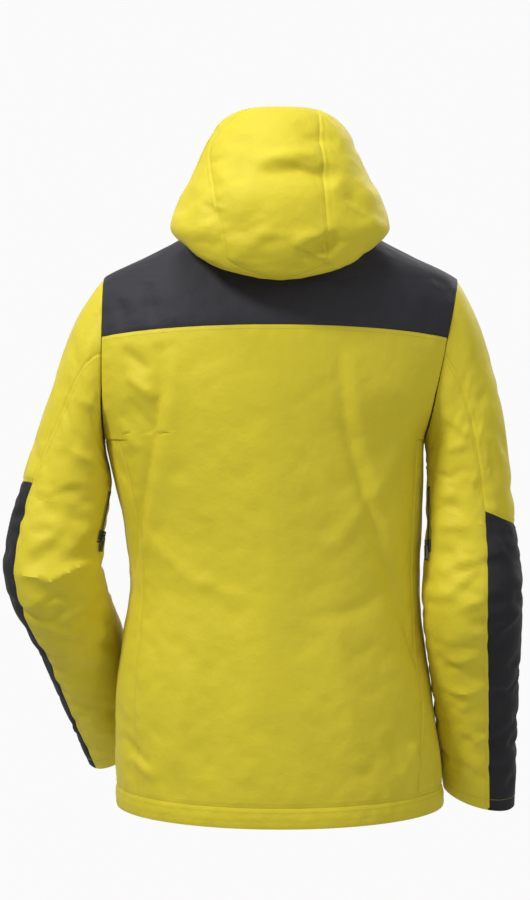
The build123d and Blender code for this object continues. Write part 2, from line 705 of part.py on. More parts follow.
arms = {
    "left": (1, LEFT_UPPER, LEFT_SHOULDER, LEFT_ELBOW, LEFT_WRIST, LEFT_GUARD),
    "right": (-1, RIGHT_UPPER, RIGHT_SHOULDER, RIGHT_ELBOW, RIGHT_WRIST, RIGHT_GUARD),
}
for name, (side, upper, shoulder, elbow, wrist, guard) in arms.items():
    rings = arm_rings(side, upper, shoulder, elbow, wrist)
    pit_zip_plane, pit_length = pit_plane(rings)
    pit_slot = slot_block(pit_zip_plane, pit_length)

    def seam(index, end):
        """Angle of a sleeve seam: from the armhole down to the guard's corner, then its edge."""
        top = (SLEEVE_SEAM_FRONT, SLEEVE_SEAM_BACK)[end]
        share = min(1, index / GUARD_RING)
        return top + share * (guard[end] - top)

    def outside(first, last):
        return [arm_face(rings[i], SHELL_PLY, seam(i, 0), seam(i, 1)) for i in range(first, last + 1)]

    def inside(first, last):
        return [
            arm_face(rings[i], SHELL_PLY, seam(i, 1), seam(i, 0) + 360) for i in range(first, last + 1)
        ]

    save(lofted(outside(0, GUARD_RING)), f"{name}_top_sleeve")
    save(cut(lofted(inside(0, UPPER_END)), pit_slot), f"{name}_under_sleeve")
    save(lofted(lowered(outside(GUARD_RING, UPPER_END)[::-1])[::-1]), f"{name}_elbow_guard")
    save(lofted(outside(FORE_START, CUFF)), f"{name}_forearm_guard")
    save(lofted(inside(FORE_START, CUFF)), f"{name}_forearm_sleeve")
    save(tube(rings[FACING_TOP:], FACING_PLY), f"{name}_cuff_facing")
    upper_fill = tube(rings[: UPPER_END + 1], SLEEVE_FILL_PLY)
    save(cut(upper_fill, pit_slot), f"{name}_sleeve_insulation")
    save(tube(rings[: UPPER_END + 1], SLEEVE_LINING_PLY), f"{name}_sleeve_lining")
    facing_plane, *facing_size = rings[FACING_TOP]
    above_facing = facing_plane.origin + (elbow - wrist).normalized() * GAP
    end_plane = Plane(origin=above_facing, x_dir=facing_plane.x_dir, z_dir=facing_plane.z_dir)
    inner_rings = rings[FORE_START:FACING_TOP] + [(end_plane, *facing_size)]
    save(tube(inner_rings, SLEEVE_FILL_PLY), f"{name}_forearm_insulation")
    save(tube(inner_rings, SLEEVE_LINING_PLY), f"{name}_forearm_lining")
    save(small_zip(pit_zip_plane, pit_length), f"{name}_pit_zip")
    pit_slider_plane = along(pit_zip_plane, PIT_SLIDER_UP)
    with BuildPart() as pit_slider:
        add(slider_body(pit_slider_plane))
        with BuildSketch(pit_slider_plane.offset(PIVOT_HEIGHT - FORK_THICK / 2)):
            with Locations((0, LUG_UP - LUG_LENGTH / 2 - PIT_TAB / 2)):
                RectangleRounded(2 * FORK_HALF, PIT_TAB, TAB_CORNER)
        extrude(amount=FORK_THICK)
    save(pit_slider.part, f"{name}_pit_slider")

# ================================================================== hood
def hood_face(ring, ply):
    """A hood ring's strip, all round but for a slit at the front."""
    height, half_width, half_depth, y = ring
    lines = [Ring(Plane.XY.offset(height), 0, y, half_width - d, half_depth - d) for d in ply]
    slack = degrees(GAP / 2 / half_width)
    return strip(*lines, (slack - 90, 270 - slack), (slack - 90, 270 - slack))


def mouth_form(radius):
    """A cylinder round the hood's pivot, as wide as the hood."""
    with BuildPart() as form:
        with BuildSketch(Plane(origin=(-HOOD_REACH, *HOOD_PIVOT), z_dir=(1, 0, 0))):
            Circle(radius)
        extrude(amount=2 * HOOD_REACH)
    return form.part


def hood_layer(ply):
    """One layer of the hood with its mouth open, cut clear of the shoulders."""
    (low, *low_size), *middle, (high, *high_size) = HOOD_RINGS
    rings = [(low + ply[0], *low_size), *middle, (high - ply[0], *high_size)]
    with BuildPart() as layer:
        add(loft([hood_face(ring, ply) for ring in rings], ruled=True, mode=Mode.PRIVATE))
        for ring, inwards in ((rings[0], 1), (rings[-1], -1)):
            height, half_width, half_depth, y = ring
            with BuildSketch(Plane.XY.offset(height)):
                with Locations((0, y)):
                    Ellipse(half_width - ply[0], half_depth - ply[0])
            extrude(amount=inwards * (ply[1] - ply[0]))
        add(mouth_form(HOOD_MOUTH_RADIUS), mode=Mode.SUBTRACT)
        add(shoulder_form, mode=Mode.SUBTRACT)
    return layer.part


def seam_block(left_line, right_line):
    """Everything between two lines in X and Z, through the whole hood."""
    with BuildPart() as block:
        with BuildSketch(Plane.XZ.offset(-HOOD_REACH)):
            with BuildLine():
                Polyline(*left_line, *reversed(right_line), close=True)
            make_face()
        extrude(amount=2 * HOOD_REACH)
    return block.part


with BuildPart() as shoulder_builder:
    for index in range(YOKE_SEAM, NECK + 1):
        ring = body_ring(index, -HOOD_LIFT)
        with BuildSketch(ring.plane):
            with Locations((ring.x, 0)):
                Ellipse(ring.a, ring.b)
    loft(ruled=True)
shoulder_form = shoulder_builder.part

hood_shell = hood_layer((0, HOOD_SHELL))
save(within(hood_shell, mouth_form(HOOD_MOUTH_RADIUS + BRIM)), "hood_brim")
hood_rest = cut(hood_shell, mouth_form(HOOD_MOUTH_RADIUS + BRIM + GAP))
left_far = [(HOOD_REACH, z) for x, z in HOOD_SEAM_LEFT]
right_far = [(-HOOD_REACH, z) for x, z in HOOD_SEAM_RIGHT]
left_seam = {step: [(x + step * GAP / 2, z) for x, z in HOOD_SEAM_LEFT] for step in (-1, 1)}
right_seam = {step: [(x + step * GAP / 2, z) for x, z in HOOD_SEAM_RIGHT] for step in (-1, 1)}
save(within(hood_rest, seam_block(left_seam[-1], right_seam[1])), "hood_center_panel")
save(within(hood_rest, seam_block(left_far, left_seam[1])), "hood_left_panel")
save(within(hood_rest, seam_block(right_seam[-1], right_far)), "hood_right_panel")
save(hood_layer((HOOD_SHELL + GAP, HOOD_SHELL + GAP + HOOD_LINING)), "hood_lining")
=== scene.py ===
import json
import bpy
import numpy as np
from math import cos, radians, sin, tan
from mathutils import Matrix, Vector
from mathutils.bvhtree import BVHTree


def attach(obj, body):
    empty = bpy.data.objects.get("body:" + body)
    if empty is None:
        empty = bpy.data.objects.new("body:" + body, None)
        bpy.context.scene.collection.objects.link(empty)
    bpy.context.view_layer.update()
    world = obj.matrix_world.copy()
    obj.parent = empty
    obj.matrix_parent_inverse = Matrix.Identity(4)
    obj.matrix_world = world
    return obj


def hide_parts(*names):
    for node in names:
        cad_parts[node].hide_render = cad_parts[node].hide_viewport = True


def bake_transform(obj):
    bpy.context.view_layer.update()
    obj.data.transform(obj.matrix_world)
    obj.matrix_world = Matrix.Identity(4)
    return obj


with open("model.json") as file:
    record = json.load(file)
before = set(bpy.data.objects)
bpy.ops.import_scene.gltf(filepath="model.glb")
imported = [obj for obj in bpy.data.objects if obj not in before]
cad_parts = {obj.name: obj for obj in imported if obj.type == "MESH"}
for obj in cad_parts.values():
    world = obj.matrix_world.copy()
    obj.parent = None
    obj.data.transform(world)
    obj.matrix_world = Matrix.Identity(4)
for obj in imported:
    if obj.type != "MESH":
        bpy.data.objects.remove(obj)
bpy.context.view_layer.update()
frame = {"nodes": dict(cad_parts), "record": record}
H = 3.8  # spacing of the cloth grids, mm
COARSE = 1.0  # the wrinkle fields are this much coarser

# All shapes are worked out in millimetres and scaled when a mesh is made.
MM = 0.001

# ------------------------------------------------------------------ the jacket's rings
FRONT_Y, FRONT_Z, LEAN = -165.0, 10.0, radians(5.07)
BODY_RINGS = np.array([
    (-727, -757, 62, 206, -207), (-703, -732, 61, 206, -205), (-600, -612, 57, 205, -191),
    (-535, -541, 52, 198, -181), (-470, -470, 48, 188, -175), (-405, -405, 49, 193, -177),
    (-340, -340, 52, 206, -179), (-284, -284, 55, 219, -182), (-245, -215, 57, 248, -222),
    (-200, -145, 52, 258, -238), (-150, -112, 44, 252, -246), (-98, -82, 34, 230, -228),
    (-75, -47, 22, 172, -172), (-45, 0, 12, 88, -88)], float)
BACK_SEAM = {1: (178, 182, 177, 171, 176, 186, 200), -1: (-171, -178, -170, -162, -164, -168, -172)}
FRONT_SEAM = {1: (158, 161, 162, 161, 170, 180, 190), -1: (-156, -152, -148, -148, -154, -158, -160)}
ARMHOLE = {1: (221.0, -88.0, 0.0), -1: (-223.0, -87.0, 12.0)}
ZIP_SLOT = 16.4
UPPER = {
    1: [((221.7, -90), (221.7, -284), -72, 60), ((258, -146), (220.5, -300), -72, 62),
        ((299, -262), (214, -328), -71, 60), ((323, -336), (213, -352), -69, 57),
        ((340, -402), (222, -412), -64, 60)],
    -1: [((-224.2, -89), (-183.2, -282), -70, 60), ((-252, -150), (-185.5, -296), -70, 62),
         ((-278, -250), (-185, -318), -66, 60), ((-294.5, -390), (-185.5, -345), -60, 56),
         ((-300, -440), (-182.5, -422), -52, 59)]}
JOINTS = {1: ((215, -75, -165), (284, -60, -437), (211, -214, -680)),
          -1: ((-215, -75, -165), (-240, -45, -475), (-254, -122, -736))}
GUARD = {1: (-75.0, 42.0), -1: (-40.0, 76.0)}
HOOD_RINGS = np.array([
    (-92, 2, 1, 74), (-91, 18, 7, 75), (-88, 34, 14, 76), (-74, 80, 32, 68), (-50, 113, 62, 46),
    (-25, 133, 84, 24), (6, 125, 96, 8), (45, 107, 90, 0), (90, 85, 64, 4), (113, 60, 36, 12),
    (120, 42, 20, 16), (121.6, 20, 9, 16), (122, 2, 1, 16)], float)
HOOD_SEAM_Z = (-110, -30, 60, 160)
HOOD_SEAM = {1: (60, 74, 86, 78), -1: (-58, -56, -50, -44)}
PIVOT_Y, PIVOT_Z, MOUTH_R = -105.0, 45.0, 129.0
SIDES = ((1, "left"), (-1, "right"))


# ------------------------------------------------------------------ small numerics
def front_y(z):
    return FRONT_Y - (FRONT_Z - z) * tan(LEAN)


def smooth(t):
    t = np.clip(t, 0, 1)
    return t * t * (3 - 2 * t)


def unit(v):
    return v / np.maximum(np.linalg.norm(v, axis=-1, keepdims=True), 1e-9)


def pchip(x, y, xi):
    """Smooth curve through rows of y that never overshoots them."""
    x, y, xi = np.asarray(x, float), np.asarray(y, float), np.asarray(xi, float)
    flat = y.ndim == 1
    y = y.reshape(len(x), -1)
    h = np.diff(x)[:, None]
    d = np.diff(y, axis=0) / h
    m = np.zeros_like(y)
    w1, w2 = 2 * h[1:] + h[:-1], h[1:] + 2 * h[:-1]
    same = d[1:] * d[:-1] > 0
    with np.errstate(divide="ignore", invalid="ignore"):
        mid = (w1 + w2) / (w1 / d[:-1] + w2 / d[1:])
    m[1:-1] = np.where(same, mid, 0)
    m[0], m[-1] = d[0], d[-1]
    k = np.clip(np.searchsorted(x, xi) - 1, 0, len(x) - 2)
    hk = h[k, 0].reshape(-1, 1)
    t = ((xi - x[k]) / hk[:, 0]).reshape(-1, 1)
    a, b = y[k], y[k + 1]
    out = ((1 + 2 * t) * (1 - t) ** 2 * a + t * (1 - t) ** 2 * hk * m[k]
           + t * t * (3 - 2 * t) * b + t * t * (t - 1) * hk * m[k + 1])
    return out[:, 0] if flat else out


def blur(field, n, wrap):
    """Repeated 1-2-1 smoothing of a grid, rows clamped, columns wrapped or clamped."""
    for _ in range(n):
        up = np.vstack([field[:1], field[:-1]])
        down = np.vstack([field[1:], field[-1:]])
        field = (up + 2 * field + down) / 4
        if wrap:
            left, right = np.roll(field, 1, 1), np.roll(field, -1, 1)
        else:
            left = np.hstack([field[:, :1], field[:, :-1]])
            right = np.hstack([field[:, 1:], field[:, -1:]])
        field = (left + 2 * field + right) / 4
    return field


class Tube:
    """A smooth tube through elliptical rings: P = O + A cos(phi) + B sin(phi)."""

    def __init__(self, x, origins, a, b, spacing):
        self.x = np.asarray(x, float)
        self.data = np.hstack([origins, a, b])
        spacing = spacing * COARSE
        self.rows = max(8, int((self.x[-1] - self.x[0]) / spacing))
        mean = (np.linalg.norm(a, axis=1).mean() + np.linalg.norm(b, axis=1).mean()) / 2
        self.cols = int(2 * np.pi * mean / spacing)
        self.gx = np.linspace(self.x[0], self.x[-1], self.rows)
        self.gphi = np.arange(self.cols) * 360.0 / self.cols - 90
        self.sign = 1.0
        gx, gp = np.meshgrid(self.gx, self.gphi, indexing="ij")
        self.P, n = self.base(gx, gp)
        out = self.P - self.P.mean(axis=1, keepdims=True)
        if (n * out).sum() < 0:
            self.sign = -1.0
            n = -n
        self.N = n
        self.W = np.zeros(self.P.shape[:2])

    def parts(self, x):
        d = pchip(self.x, self.data, np.clip(x, self.x[0], self.x[-1]).ravel())
        return [d[:, i:i + 3].reshape(x.shape + (3,)) for i in (0, 3, 6)]

    def base(self, x, phi):
        """Points and outward normals, without wrinkles."""
        r = np.radians(phi)[..., None]
        o, a, b = self.parts(x)
        p = o + a * np.cos(r) + b * np.sin(r)
        span = self.x[-1] - self.x[0]
        lo = np.clip(x - span * 0.004, self.x[0], self.x[-1])
        hi = np.clip(x + span * 0.004, self.x[0], self.x[-1])
        o1, a1, b1 = self.parts(lo)
        o2, a2, b2 = self.parts(hi)
        dx = (o2 + a2 * np.cos(r) + b2 * np.sin(r)) - (o1 + a1 * np.cos(r) + b1 * np.sin(r))
        dphi = b * np.cos(r) - a * np.sin(r)
        return p, unit(np.cross(dphi, dx)) * self.sign

    def ripple(self, x, phi):
        """Wrinkle height at any place, smoothly between the grid's points."""
        u = (x - self.gx[0]) / (self.gx[1] - self.gx[0])
        v = ((phi + 90) % 360) / (360 / self.cols)
        i, j = np.floor(u).astype(int), np.floor(v).astype(int)
        fu, fv = u - i, v - j
        total = 0

        def weights(f):
            return [-0.5 * f + f ** 2 - 0.5 * f ** 3, 1 - 2.5 * f ** 2 + 1.5 * f ** 3,
                    0.5 * f + 2 * f ** 2 - 1.5 * f ** 3, -0.5 * f ** 2 + 0.5 * f ** 3]
        for di, wi in zip((-1, 0, 1, 2), weights(fu)):
            for dj, wj in zip((-1, 0, 1, 2), weights(fv)):
                total = total + wi * wj * self.W[np.clip(i + di, 0, self.rows - 1), (j + dj) % self.cols]
        return total

    def surface(self, x, phi):
        p, n = self.base(x, phi)
        return p + n * self.ripple(x, phi)[..., None], n


def leaning_noise(rng, shape, stretch, lean):
    """Smooth noise, drawn out round the tube and leaning up to one side."""
    noise = blur(rng.randn(*shape), 3, True)
    for _ in range(stretch):
        noise = (np.roll(noise, -1, 1) + 2 * noise + np.roll(noise, 1, 1)) / 4
    columns = np.arange(shape[1])
    return np.stack([noise[i, (columns + int(i * lean)) % shape[1]] for i in range(shape[0])])


def buckle(tube, grow_along, grow_round, pin, cap, rounds, seed, soft=0.006, stretch=6):
    """Position-based cloth: the tube's threads are a little too long for its shape, so it wrinkles.
    Returns the wrinkle heights along the normals, with crisp crests."""
    rng = np.random.RandomState(seed)
    base, n = tube.P, tube.N
    rest_s = np.linalg.norm(base[1:] - base[:-1], axis=2) * (1 + (grow_along[1:] + grow_along[:-1]) / 2)
    nxt = np.roll(base, -1, 1)
    rest_p = np.linalg.norm(nxt - base, axis=2) * (1 + grow_round)
    start = leaning_noise(rng, base.shape[:2], stretch, 0.7) + leaning_noise(rng, base.shape[:2], stretch, -0.9)
    swell = 8.5 * np.sqrt(np.maximum(grow_along, grow_round))  # height that takes up the spare length
    d = n * (start / start.std() * swell * pin)[..., None]
    rows, cols = base.shape[:2]
    cols_even = cols - cols % 2
    for step in range(rounds):
        x = base + d
        for first in (0, 1):
            a, b = x[first:rows - 1:2], x[first + 1:rows:2]
            e = b - a
            length = np.linalg.norm(e, axis=2, keepdims=True)
            fix = e * (0.5 * (1 - rest_s[first:rows - 1:2][..., None] / np.maximum(length, 1e-6))) * 0.9
            x[first:rows - 1:2] = a + fix
            x[first + 1:rows:2] = b - fix
        for first in (0, 1):
            ia = np.arange(first, cols_even, 2)
            ib = (ia + 1) % cols
            a, b = x[:, ia], x[:, ib]
            e = b - a
            length = np.linalg.norm(e, axis=2, keepdims=True)
            fix = e * (0.5 * (1 - rest_p[:, ia][..., None] / np.maximum(length, 1e-6))) * 0.9
            x[:, ia] = a + fix
            x[:, ib] = b - fix
        d = x - base
        lap = (np.vstack([d[:1], d[:-1]]) + np.vstack([d[1:], d[-1:]])
               + np.roll(d, 1, 1) + np.roll(d, -1, 1)) / 4 - d
        d = (d + lap * soft * 2) * pin[..., None]
        high = (d * n).sum(axis=2, keepdims=True)
        d = d - n * (high - np.clip(high, -cap, cap))
    w = (d * n).sum(axis=2)
    w = w - blur(w, 110, True) * 0.8
    crisp = np.abs(w).mean() - np.abs(w)
    w = blur(0.7 * w + 0.6 * crisp * pin, 1, True)
    print("buckle", tube.rows, tube.cols, "std", round(float(w.std()), 2), "max", round(float(np.abs(w).max()), 2))
    return np.clip(w, -cap, cap)


STRENGTH = 1.6


def fold(tube, points, height, width, facing=1.0, fade=0.0, plane=(0, 2)):
    """A ridge, or a valley if height is negative, along a line seen from the back or the front."""
    pts = np.array(points, float)
    q = tube.P[..., list(plane)]
    best = np.full(q.shape[:2], 1e9)
    along = np.zeros(q.shape[:2])
    total = np.linalg.norm(np.diff(pts, axis=0), axis=1).sum()
    run = 0.0
    for a, b in zip(pts[:-1], pts[1:]):
        ab = b - a
        length = np.linalg.norm(ab)
        t = np.clip(((q - a) * ab).sum(axis=2) / length ** 2, 0, 1)
        dist = np.linalg.norm(q - (a + t[..., None] * ab), axis=2)
        closer = dist < best
        best = np.where(closer, dist, best)
        along = np.where(closer, (run + t * length) / total, along)
        run += length
    ends = np.sqrt(np.clip(np.sin(np.pi * np.clip(along, 0.0, 1.0)), 0, 1)) if fade else 1.0
    facing_w = smooth(tube.N[..., 1] * facing * 2.5 + 0.1)
    crest = 0.55 * np.exp(-(best / width) ** 2) + 0.45 * np.exp(-best / width)
    tube.W += height * STRENGTH * crest * ends * facing_w


def crease(tube, points, height, steep=2.6, gentle=13.0, facing=1.0):
    """A pushed-up fold along a line: a gentle slope above it, a steep drop and a hollow below it."""
    pts = np.array(points, float)
    q = tube.P[..., [0, 2]]
    best = np.full(q.shape[:2], 1e9)
    along = np.zeros(q.shape[:2])
    lengths = np.linalg.norm(np.diff(pts, axis=0), axis=1)
    run = 0.0
    for a, b, length in zip(pts[:-1], pts[1:], lengths):
        ab = b - a
        up = np.array((-ab[1], ab[0])) / length
        up = up * (1 if up[1] > 0 else -1)
        t = np.clip(((q - a) * ab).sum(axis=2) / length ** 2, 0, 1)
        gap = q - (a + t[..., None] * ab)
        dist = np.linalg.norm(gap, axis=2)
        closer = dist < np.abs(best)
        best = np.where(closer, dist * np.where(gap @ up >= 0, 1, -1), best)
        along = np.where(closer, (run + t * length) / lengths.sum(), along)
        run += length
    above = np.exp(-np.maximum(best, 0) / gentle)
    under = np.minimum(best, 0)
    below = 1.7 * np.exp(under / steep) - 0.7 * np.exp(under / gentle)
    shape = np.where(best >= 0, above, below)
    ends = np.sin(np.pi * np.clip(along, 0.02, 0.98)) ** 0.7
    tube.W += height * shape * ends * smooth(tube.N[..., 1] * facing * 2.5 + 0.1)


# ------------------------------------------------------------------ body
def body_tube():
    rings = BODY_RINGS
    yf = front_y(rings[:, 0])
    origin = np.stack([(rings[:, 3] + rings[:, 4]) / 2, (yf + rings[:, 2]) / 2,
                       (rings[:, 0] + rings[:, 1]) / 2], 1)
    a = np.stack([(rings[:, 3] - rings[:, 4]) / 2, 0 * yf, 0 * yf], 1)
    b = np.stack([0 * yf, (rings[:, 2] - yf) / 2, (rings[:, 1] - rings[:, 0]) / 2], 1)
    step = np.linalg.norm(np.diff(origin, axis=0), axis=1) + np.abs(np.diff(a[:, 0])) * 0.6
    x = np.concatenate([[0], np.cumsum(step)])
    return Tube(x, origin, a, b, 5.5)


body = body_tube()
BX = body.x


def at_x(x, target_x, behind):
    """Angle on the body at which X is reached."""
    o, a, b = body.parts(x)
    c = np.clip((target_x - o[..., 0]) / a[..., 0], -1, 1)
    turn = np.degrees(np.arccos(c))
    return turn if behind else -turn


def arm_limit(x, side, behind):
    """Angle on the body at which the armhole cuts it, or the ring's end."""
    x0, top, lean = ARMHOLE[side]
    o, a, b = body.parts(x)
    target = np.full(x.shape, x0)
    for _ in range(4):
        turn = np.radians(at_x(x, target, behind))
        z = o[..., 2] + b[..., 2] * np.sin(turn)
        target = x0 - side * (top - z) * tan(radians(lean))
    reach = (target - o[..., 0]) / a[..., 0] * side
    turn = at_x(x, target, behind)
    end = 0.0 if side > 0 else (180.0 if behind else -180.0)
    return np.where(reach >= 1, end, turn)


def seam_at(table, side, behind):
    def run(x):
        return at_x(x, pchip(BX[1:8], np.array(table[side], float), np.clip(x, BX[1], BX[7])), behind)
    return run


def zip_edge(side):
    return lambda x: at_x(x, np.full(x.shape, side * ZIP_SLOT), False) + (0 if side > 0 else 360)


def turned(run):
    """The same edge, one turn on, for panels that run through the front on the right."""
    return lambda x: run(x) + 360


# ------------------------------------------------------------------ arms
def arm_tube(side):
    origins, a, b = [], [], []
    for (ox, oz), (ix, iz), y, depth in UPPER[side]:
        out = np.array((ox - ix, 0, oz - iz), float)
        origins.append(((ox + ix) / 2, y, (oz + iz) / 2))
        a.append(out / 2)
        b.append(np.array((0, 1, 0), float) * depth)
    s, e, w = [np.array(p, float) for p in JOINTS[side]]
    u, f = unit(e - s), unit(w - e)
    bend = unit(u + f)

    def ring(middle, down, radius, slant):
        out = np.array((side, 0, 0), float)
        out = unit(out - down * out.dot(down))
        back = np.cross(out, down) * side
        tilted = out * cos(slant) + down * sin(slant)
        origins.append(middle)
        a.append(tilted * radius / cos(slant))
        b.append(back * radius)
    ring(e, bend, 61.5, 0)
    ring((e + w) / 2, f, 53.0, 0)
    ring(w, f, 44.0, radians(18))
    o = np.array(origins, float)
    step = np.linalg.norm(np.diff(o, axis=0), axis=1)
    x = np.concatenate([[0], np.cumsum(step)])
    return Tube(x, o, np.array(a), np.array(b), 3.6)


arms = {side: arm_tube(side) for side, _ in SIDES}


def armhole_loop(side):
    """The body's edge at the armhole, as points against the angle round the arm."""
    pts = []
    for behind in (True, False):
        x = np.concatenate([np.linspace(BX[7], BX[8], 40), np.linspace(BX[8], BX[11], 60),
                            np.linspace(BX[11], BX[12], 60)])
        phi = arm_limit(x, side, behind)
        o, a, b = body.parts(x)
        keep = np.abs(np.cos(np.radians(phi))) < 0.9999
        p, _ = body.surface(x[keep], phi[keep])
        pts.append(p if behind else p[::-1])
    loop = np.vstack(pts)
    o, a, b = arms[side].parts(np.array([0.0]))
    rel = loop - o[0]
    ang = np.degrees(np.arctan2(rel @ b[0] / (b[0] @ b[0]), rel @ a[0] / (a[0] @ a[0])))
    order = np.argsort(ang)
    return ang[order], loop[order]


loops = {}


def fit_armhole(side, x, phi, p):
    """The sleeve's head is drawn to the body's armhole edge."""
    ang, loop = loops[side]
    turn = (phi + 180) % 360 - 180
    ext_a = np.concatenate([ang - 360, ang, ang + 360])
    target = np.stack([np.interp(turn.ravel(), ext_a, np.tile(loop[:, i], 3)) for i in range(3)], 1)
    top, _ = arms[side].surface(np.zeros(x.shape), phi)
    shift = target.reshape(p.shape) - top
    return p + shift * (1 - smooth(x / 75.0))[..., None]


# ------------------------------------------------------------------ hood
def hood_tube():
    r = HOOD_RINGS
    z0 = 0 * r[:, 0]
    origin = np.stack([z0, r[:, 3], r[:, 0]], 1)
    a = np.stack([r[:, 1], z0, z0], 1)
    b = np.stack([z0, r[:, 2], z0], 1)
    step = np.hypot(np.diff(r[:, 0]), np.diff(r[:, 1]) * 0.8)
    x = np.concatenate([[0], np.cumsum(step)])
    return Tube(x, origin, a, b, 3.8)


hood = hood_tube()


def hood_edge(x):
    """Angle at which the hood's mouth cuts it, on the left."""
    o, a, b = hood.parts(x)
    trial = np.linspace(90, -90, 361)
    r = np.radians(trial)
    px = a[:, :1] * np.cos(r)
    py = o[:, 1:2] + b[:, 1:2] * np.sin(r)
    pz = np.repeat(o[:, 2:3], len(trial), 1)
    inside = np.hypot(py - PIVOT_Y, pz - PIVOT_Z) < MOUTH_R
    neck = ((px / 93) ** 2 + ((py + 77) / 93) ** 2 < 1)
    bad = (inside | neck) & (pz > -82)
    first = np.where(bad.any(axis=1), bad.argmax(axis=1), len(trial)) - 1
    edge = trial[np.clip(first, 0, len(trial) - 1)]
    return edge


def hood_seam(side):
    def run(x):
        o, a, b = hood.parts(x)
        seam = np.interp(o[:, 2], HOOD_SEAM_Z, HOOD_SEAM[side]) * side
        edge = hood_edge(x)
        most = np.where(o[:, 2] > 20, 0.9, 0.72)
        turn = np.degrees(np.arccos(np.minimum(seam / a[:, 0], most)))
        turn = np.maximum(turn, edge)
        return turn if side > 0 else 180 - turn
    return run


# ------------------------------------------------------------------ wrinkles
def rows_cols(tube):
    return np.meshgrid(tube.gx, tube.gphi, indexing="ij")


gx, gp = rows_cols(body)
zz = body.P[..., 2]
pin = smooth((gx - BX[0]) / 22) * smooth((BX[-1] - gx) / 40)
pin *= smooth((np.abs(body.P[..., 0]) - 20) / 30 + (body.P[..., 1] > -60))
arm_near = np.exp(-((np.abs(body.P[..., 0]) - 222) / 30) ** 2) * (zz > -290)
seam_back = np.exp(-((gx - BX[9]) / 9) ** 2)
pin *= 1 - 0.75 * seam_back
upper = smooth((zz + 330) / 120)
along = 0.006 + 0.010 * smooth((zz + 520) / -120) + 0.006 * smooth(1 - np.abs(zz + 440) / 120)
round_it = 0.007 + 0.008 * (1 - upper)
body.W = buckle(body, along, round_it, pin, 4.0, 120, 7, 0.003, 0) * 0.55
BODY_FOLDS = [
    ([(144, -167), (145, -211), (157, -298), (182, -436), (187, -484)], -4.2, 8, 1),
    ([(132, -175), (131, -215), (143, -300), (168, -430)], 3.0, 13, 1),
    ([(-69, -164), (-81, -273), (-124, -428), (-154, -512), (-186, -599), (-205, -670)], -3.6, 8, 1),
    ([(-84, -180), (-98, -280), (-140, -428), (-170, -520)], 3.2, 16, 1),
    ([(192, -174), (161, -201)], -3.0, 6, 1), ([(188, -205), (151, -236)], 3.0, 7, 1),
    ([(186, -236), (155, -275)], -3.2, 7, 1), ([(198, -260), (174, -298)], 3.0, 8, 1),
    ([(198, -651), (161, -688)], -2.6, 7, 1), ([(188, -676), (149, -701)], 2.4, 7, 1),
    ([(-130, -645), (-149, -692)], -2.4, 7, 1), ([(-161, -657), (-174, -701)], 2.6, 8, 1),
    ([(196, -112), (191, -155)], -2.6, 7, 1), ([(161, -93), (157, -143)], -2.2, 8, 1),
    ([(-139, -87), (-146, -139)], -2.2, 8, 1), ([(-180, -112), (-184, -161)], -2.4, 7, 1),
    ([(30, -200), (10, -420), (22, -640)], 2.2, 34, 1), ([(-60, -480), (-95, -690)], 2.2, 20, 1),
    ([(90, -380), (70, -560), (84, -700)], -2.0, 22, 1), ([(110, -560), (128, -700)], 2.0, 14, 1),
    ([(-170, -230), (-130, -330), (-60, -420)], 2.2, 12, 1),
    ([(170, -400), (110, -455), (40, -480)], 1.8, 12, 1),
    ([(-165, -440), (-100, -490), (-20, -505)], -1.8, 12, 1),
    ([(150, -210), (110, -330), (120, -480), (140, -640)], -3.0, 14, -1),
    ([(-150, -210), (-115, -330), (-110, -480), (-130, -640)], -3.0, 14, -1),
    ([(60, -260), (80, -420), (60, -600)], 2.6, 20, -1), ([(-60, -260), (-80, -440), (-56, -600)], 2.6, 20, -1),
    ([(190, -240), (140, -300)], -3.0, 9, -1), ([(-180, -240), (-130, -310)], -3.0, 9, -1),
]
for points, height, width, facing in BODY_FOLDS:
    fold(body, points, height, width, facing, 1.0)
body.W *= np.clip(smooth((gx - BX[0]) / 14), 0.25, 1) * smooth((BX[-1] - gx) / 25)
body.W *= 1 - 0.6 * seam_back
body.W *= smooth((np.abs(body.P[..., 0]) - 16) / 22 + (body.P[..., 1] > -60) * 5)
body.W *= 1 - 0.7 * np.clip(arm_near, 0, 1)

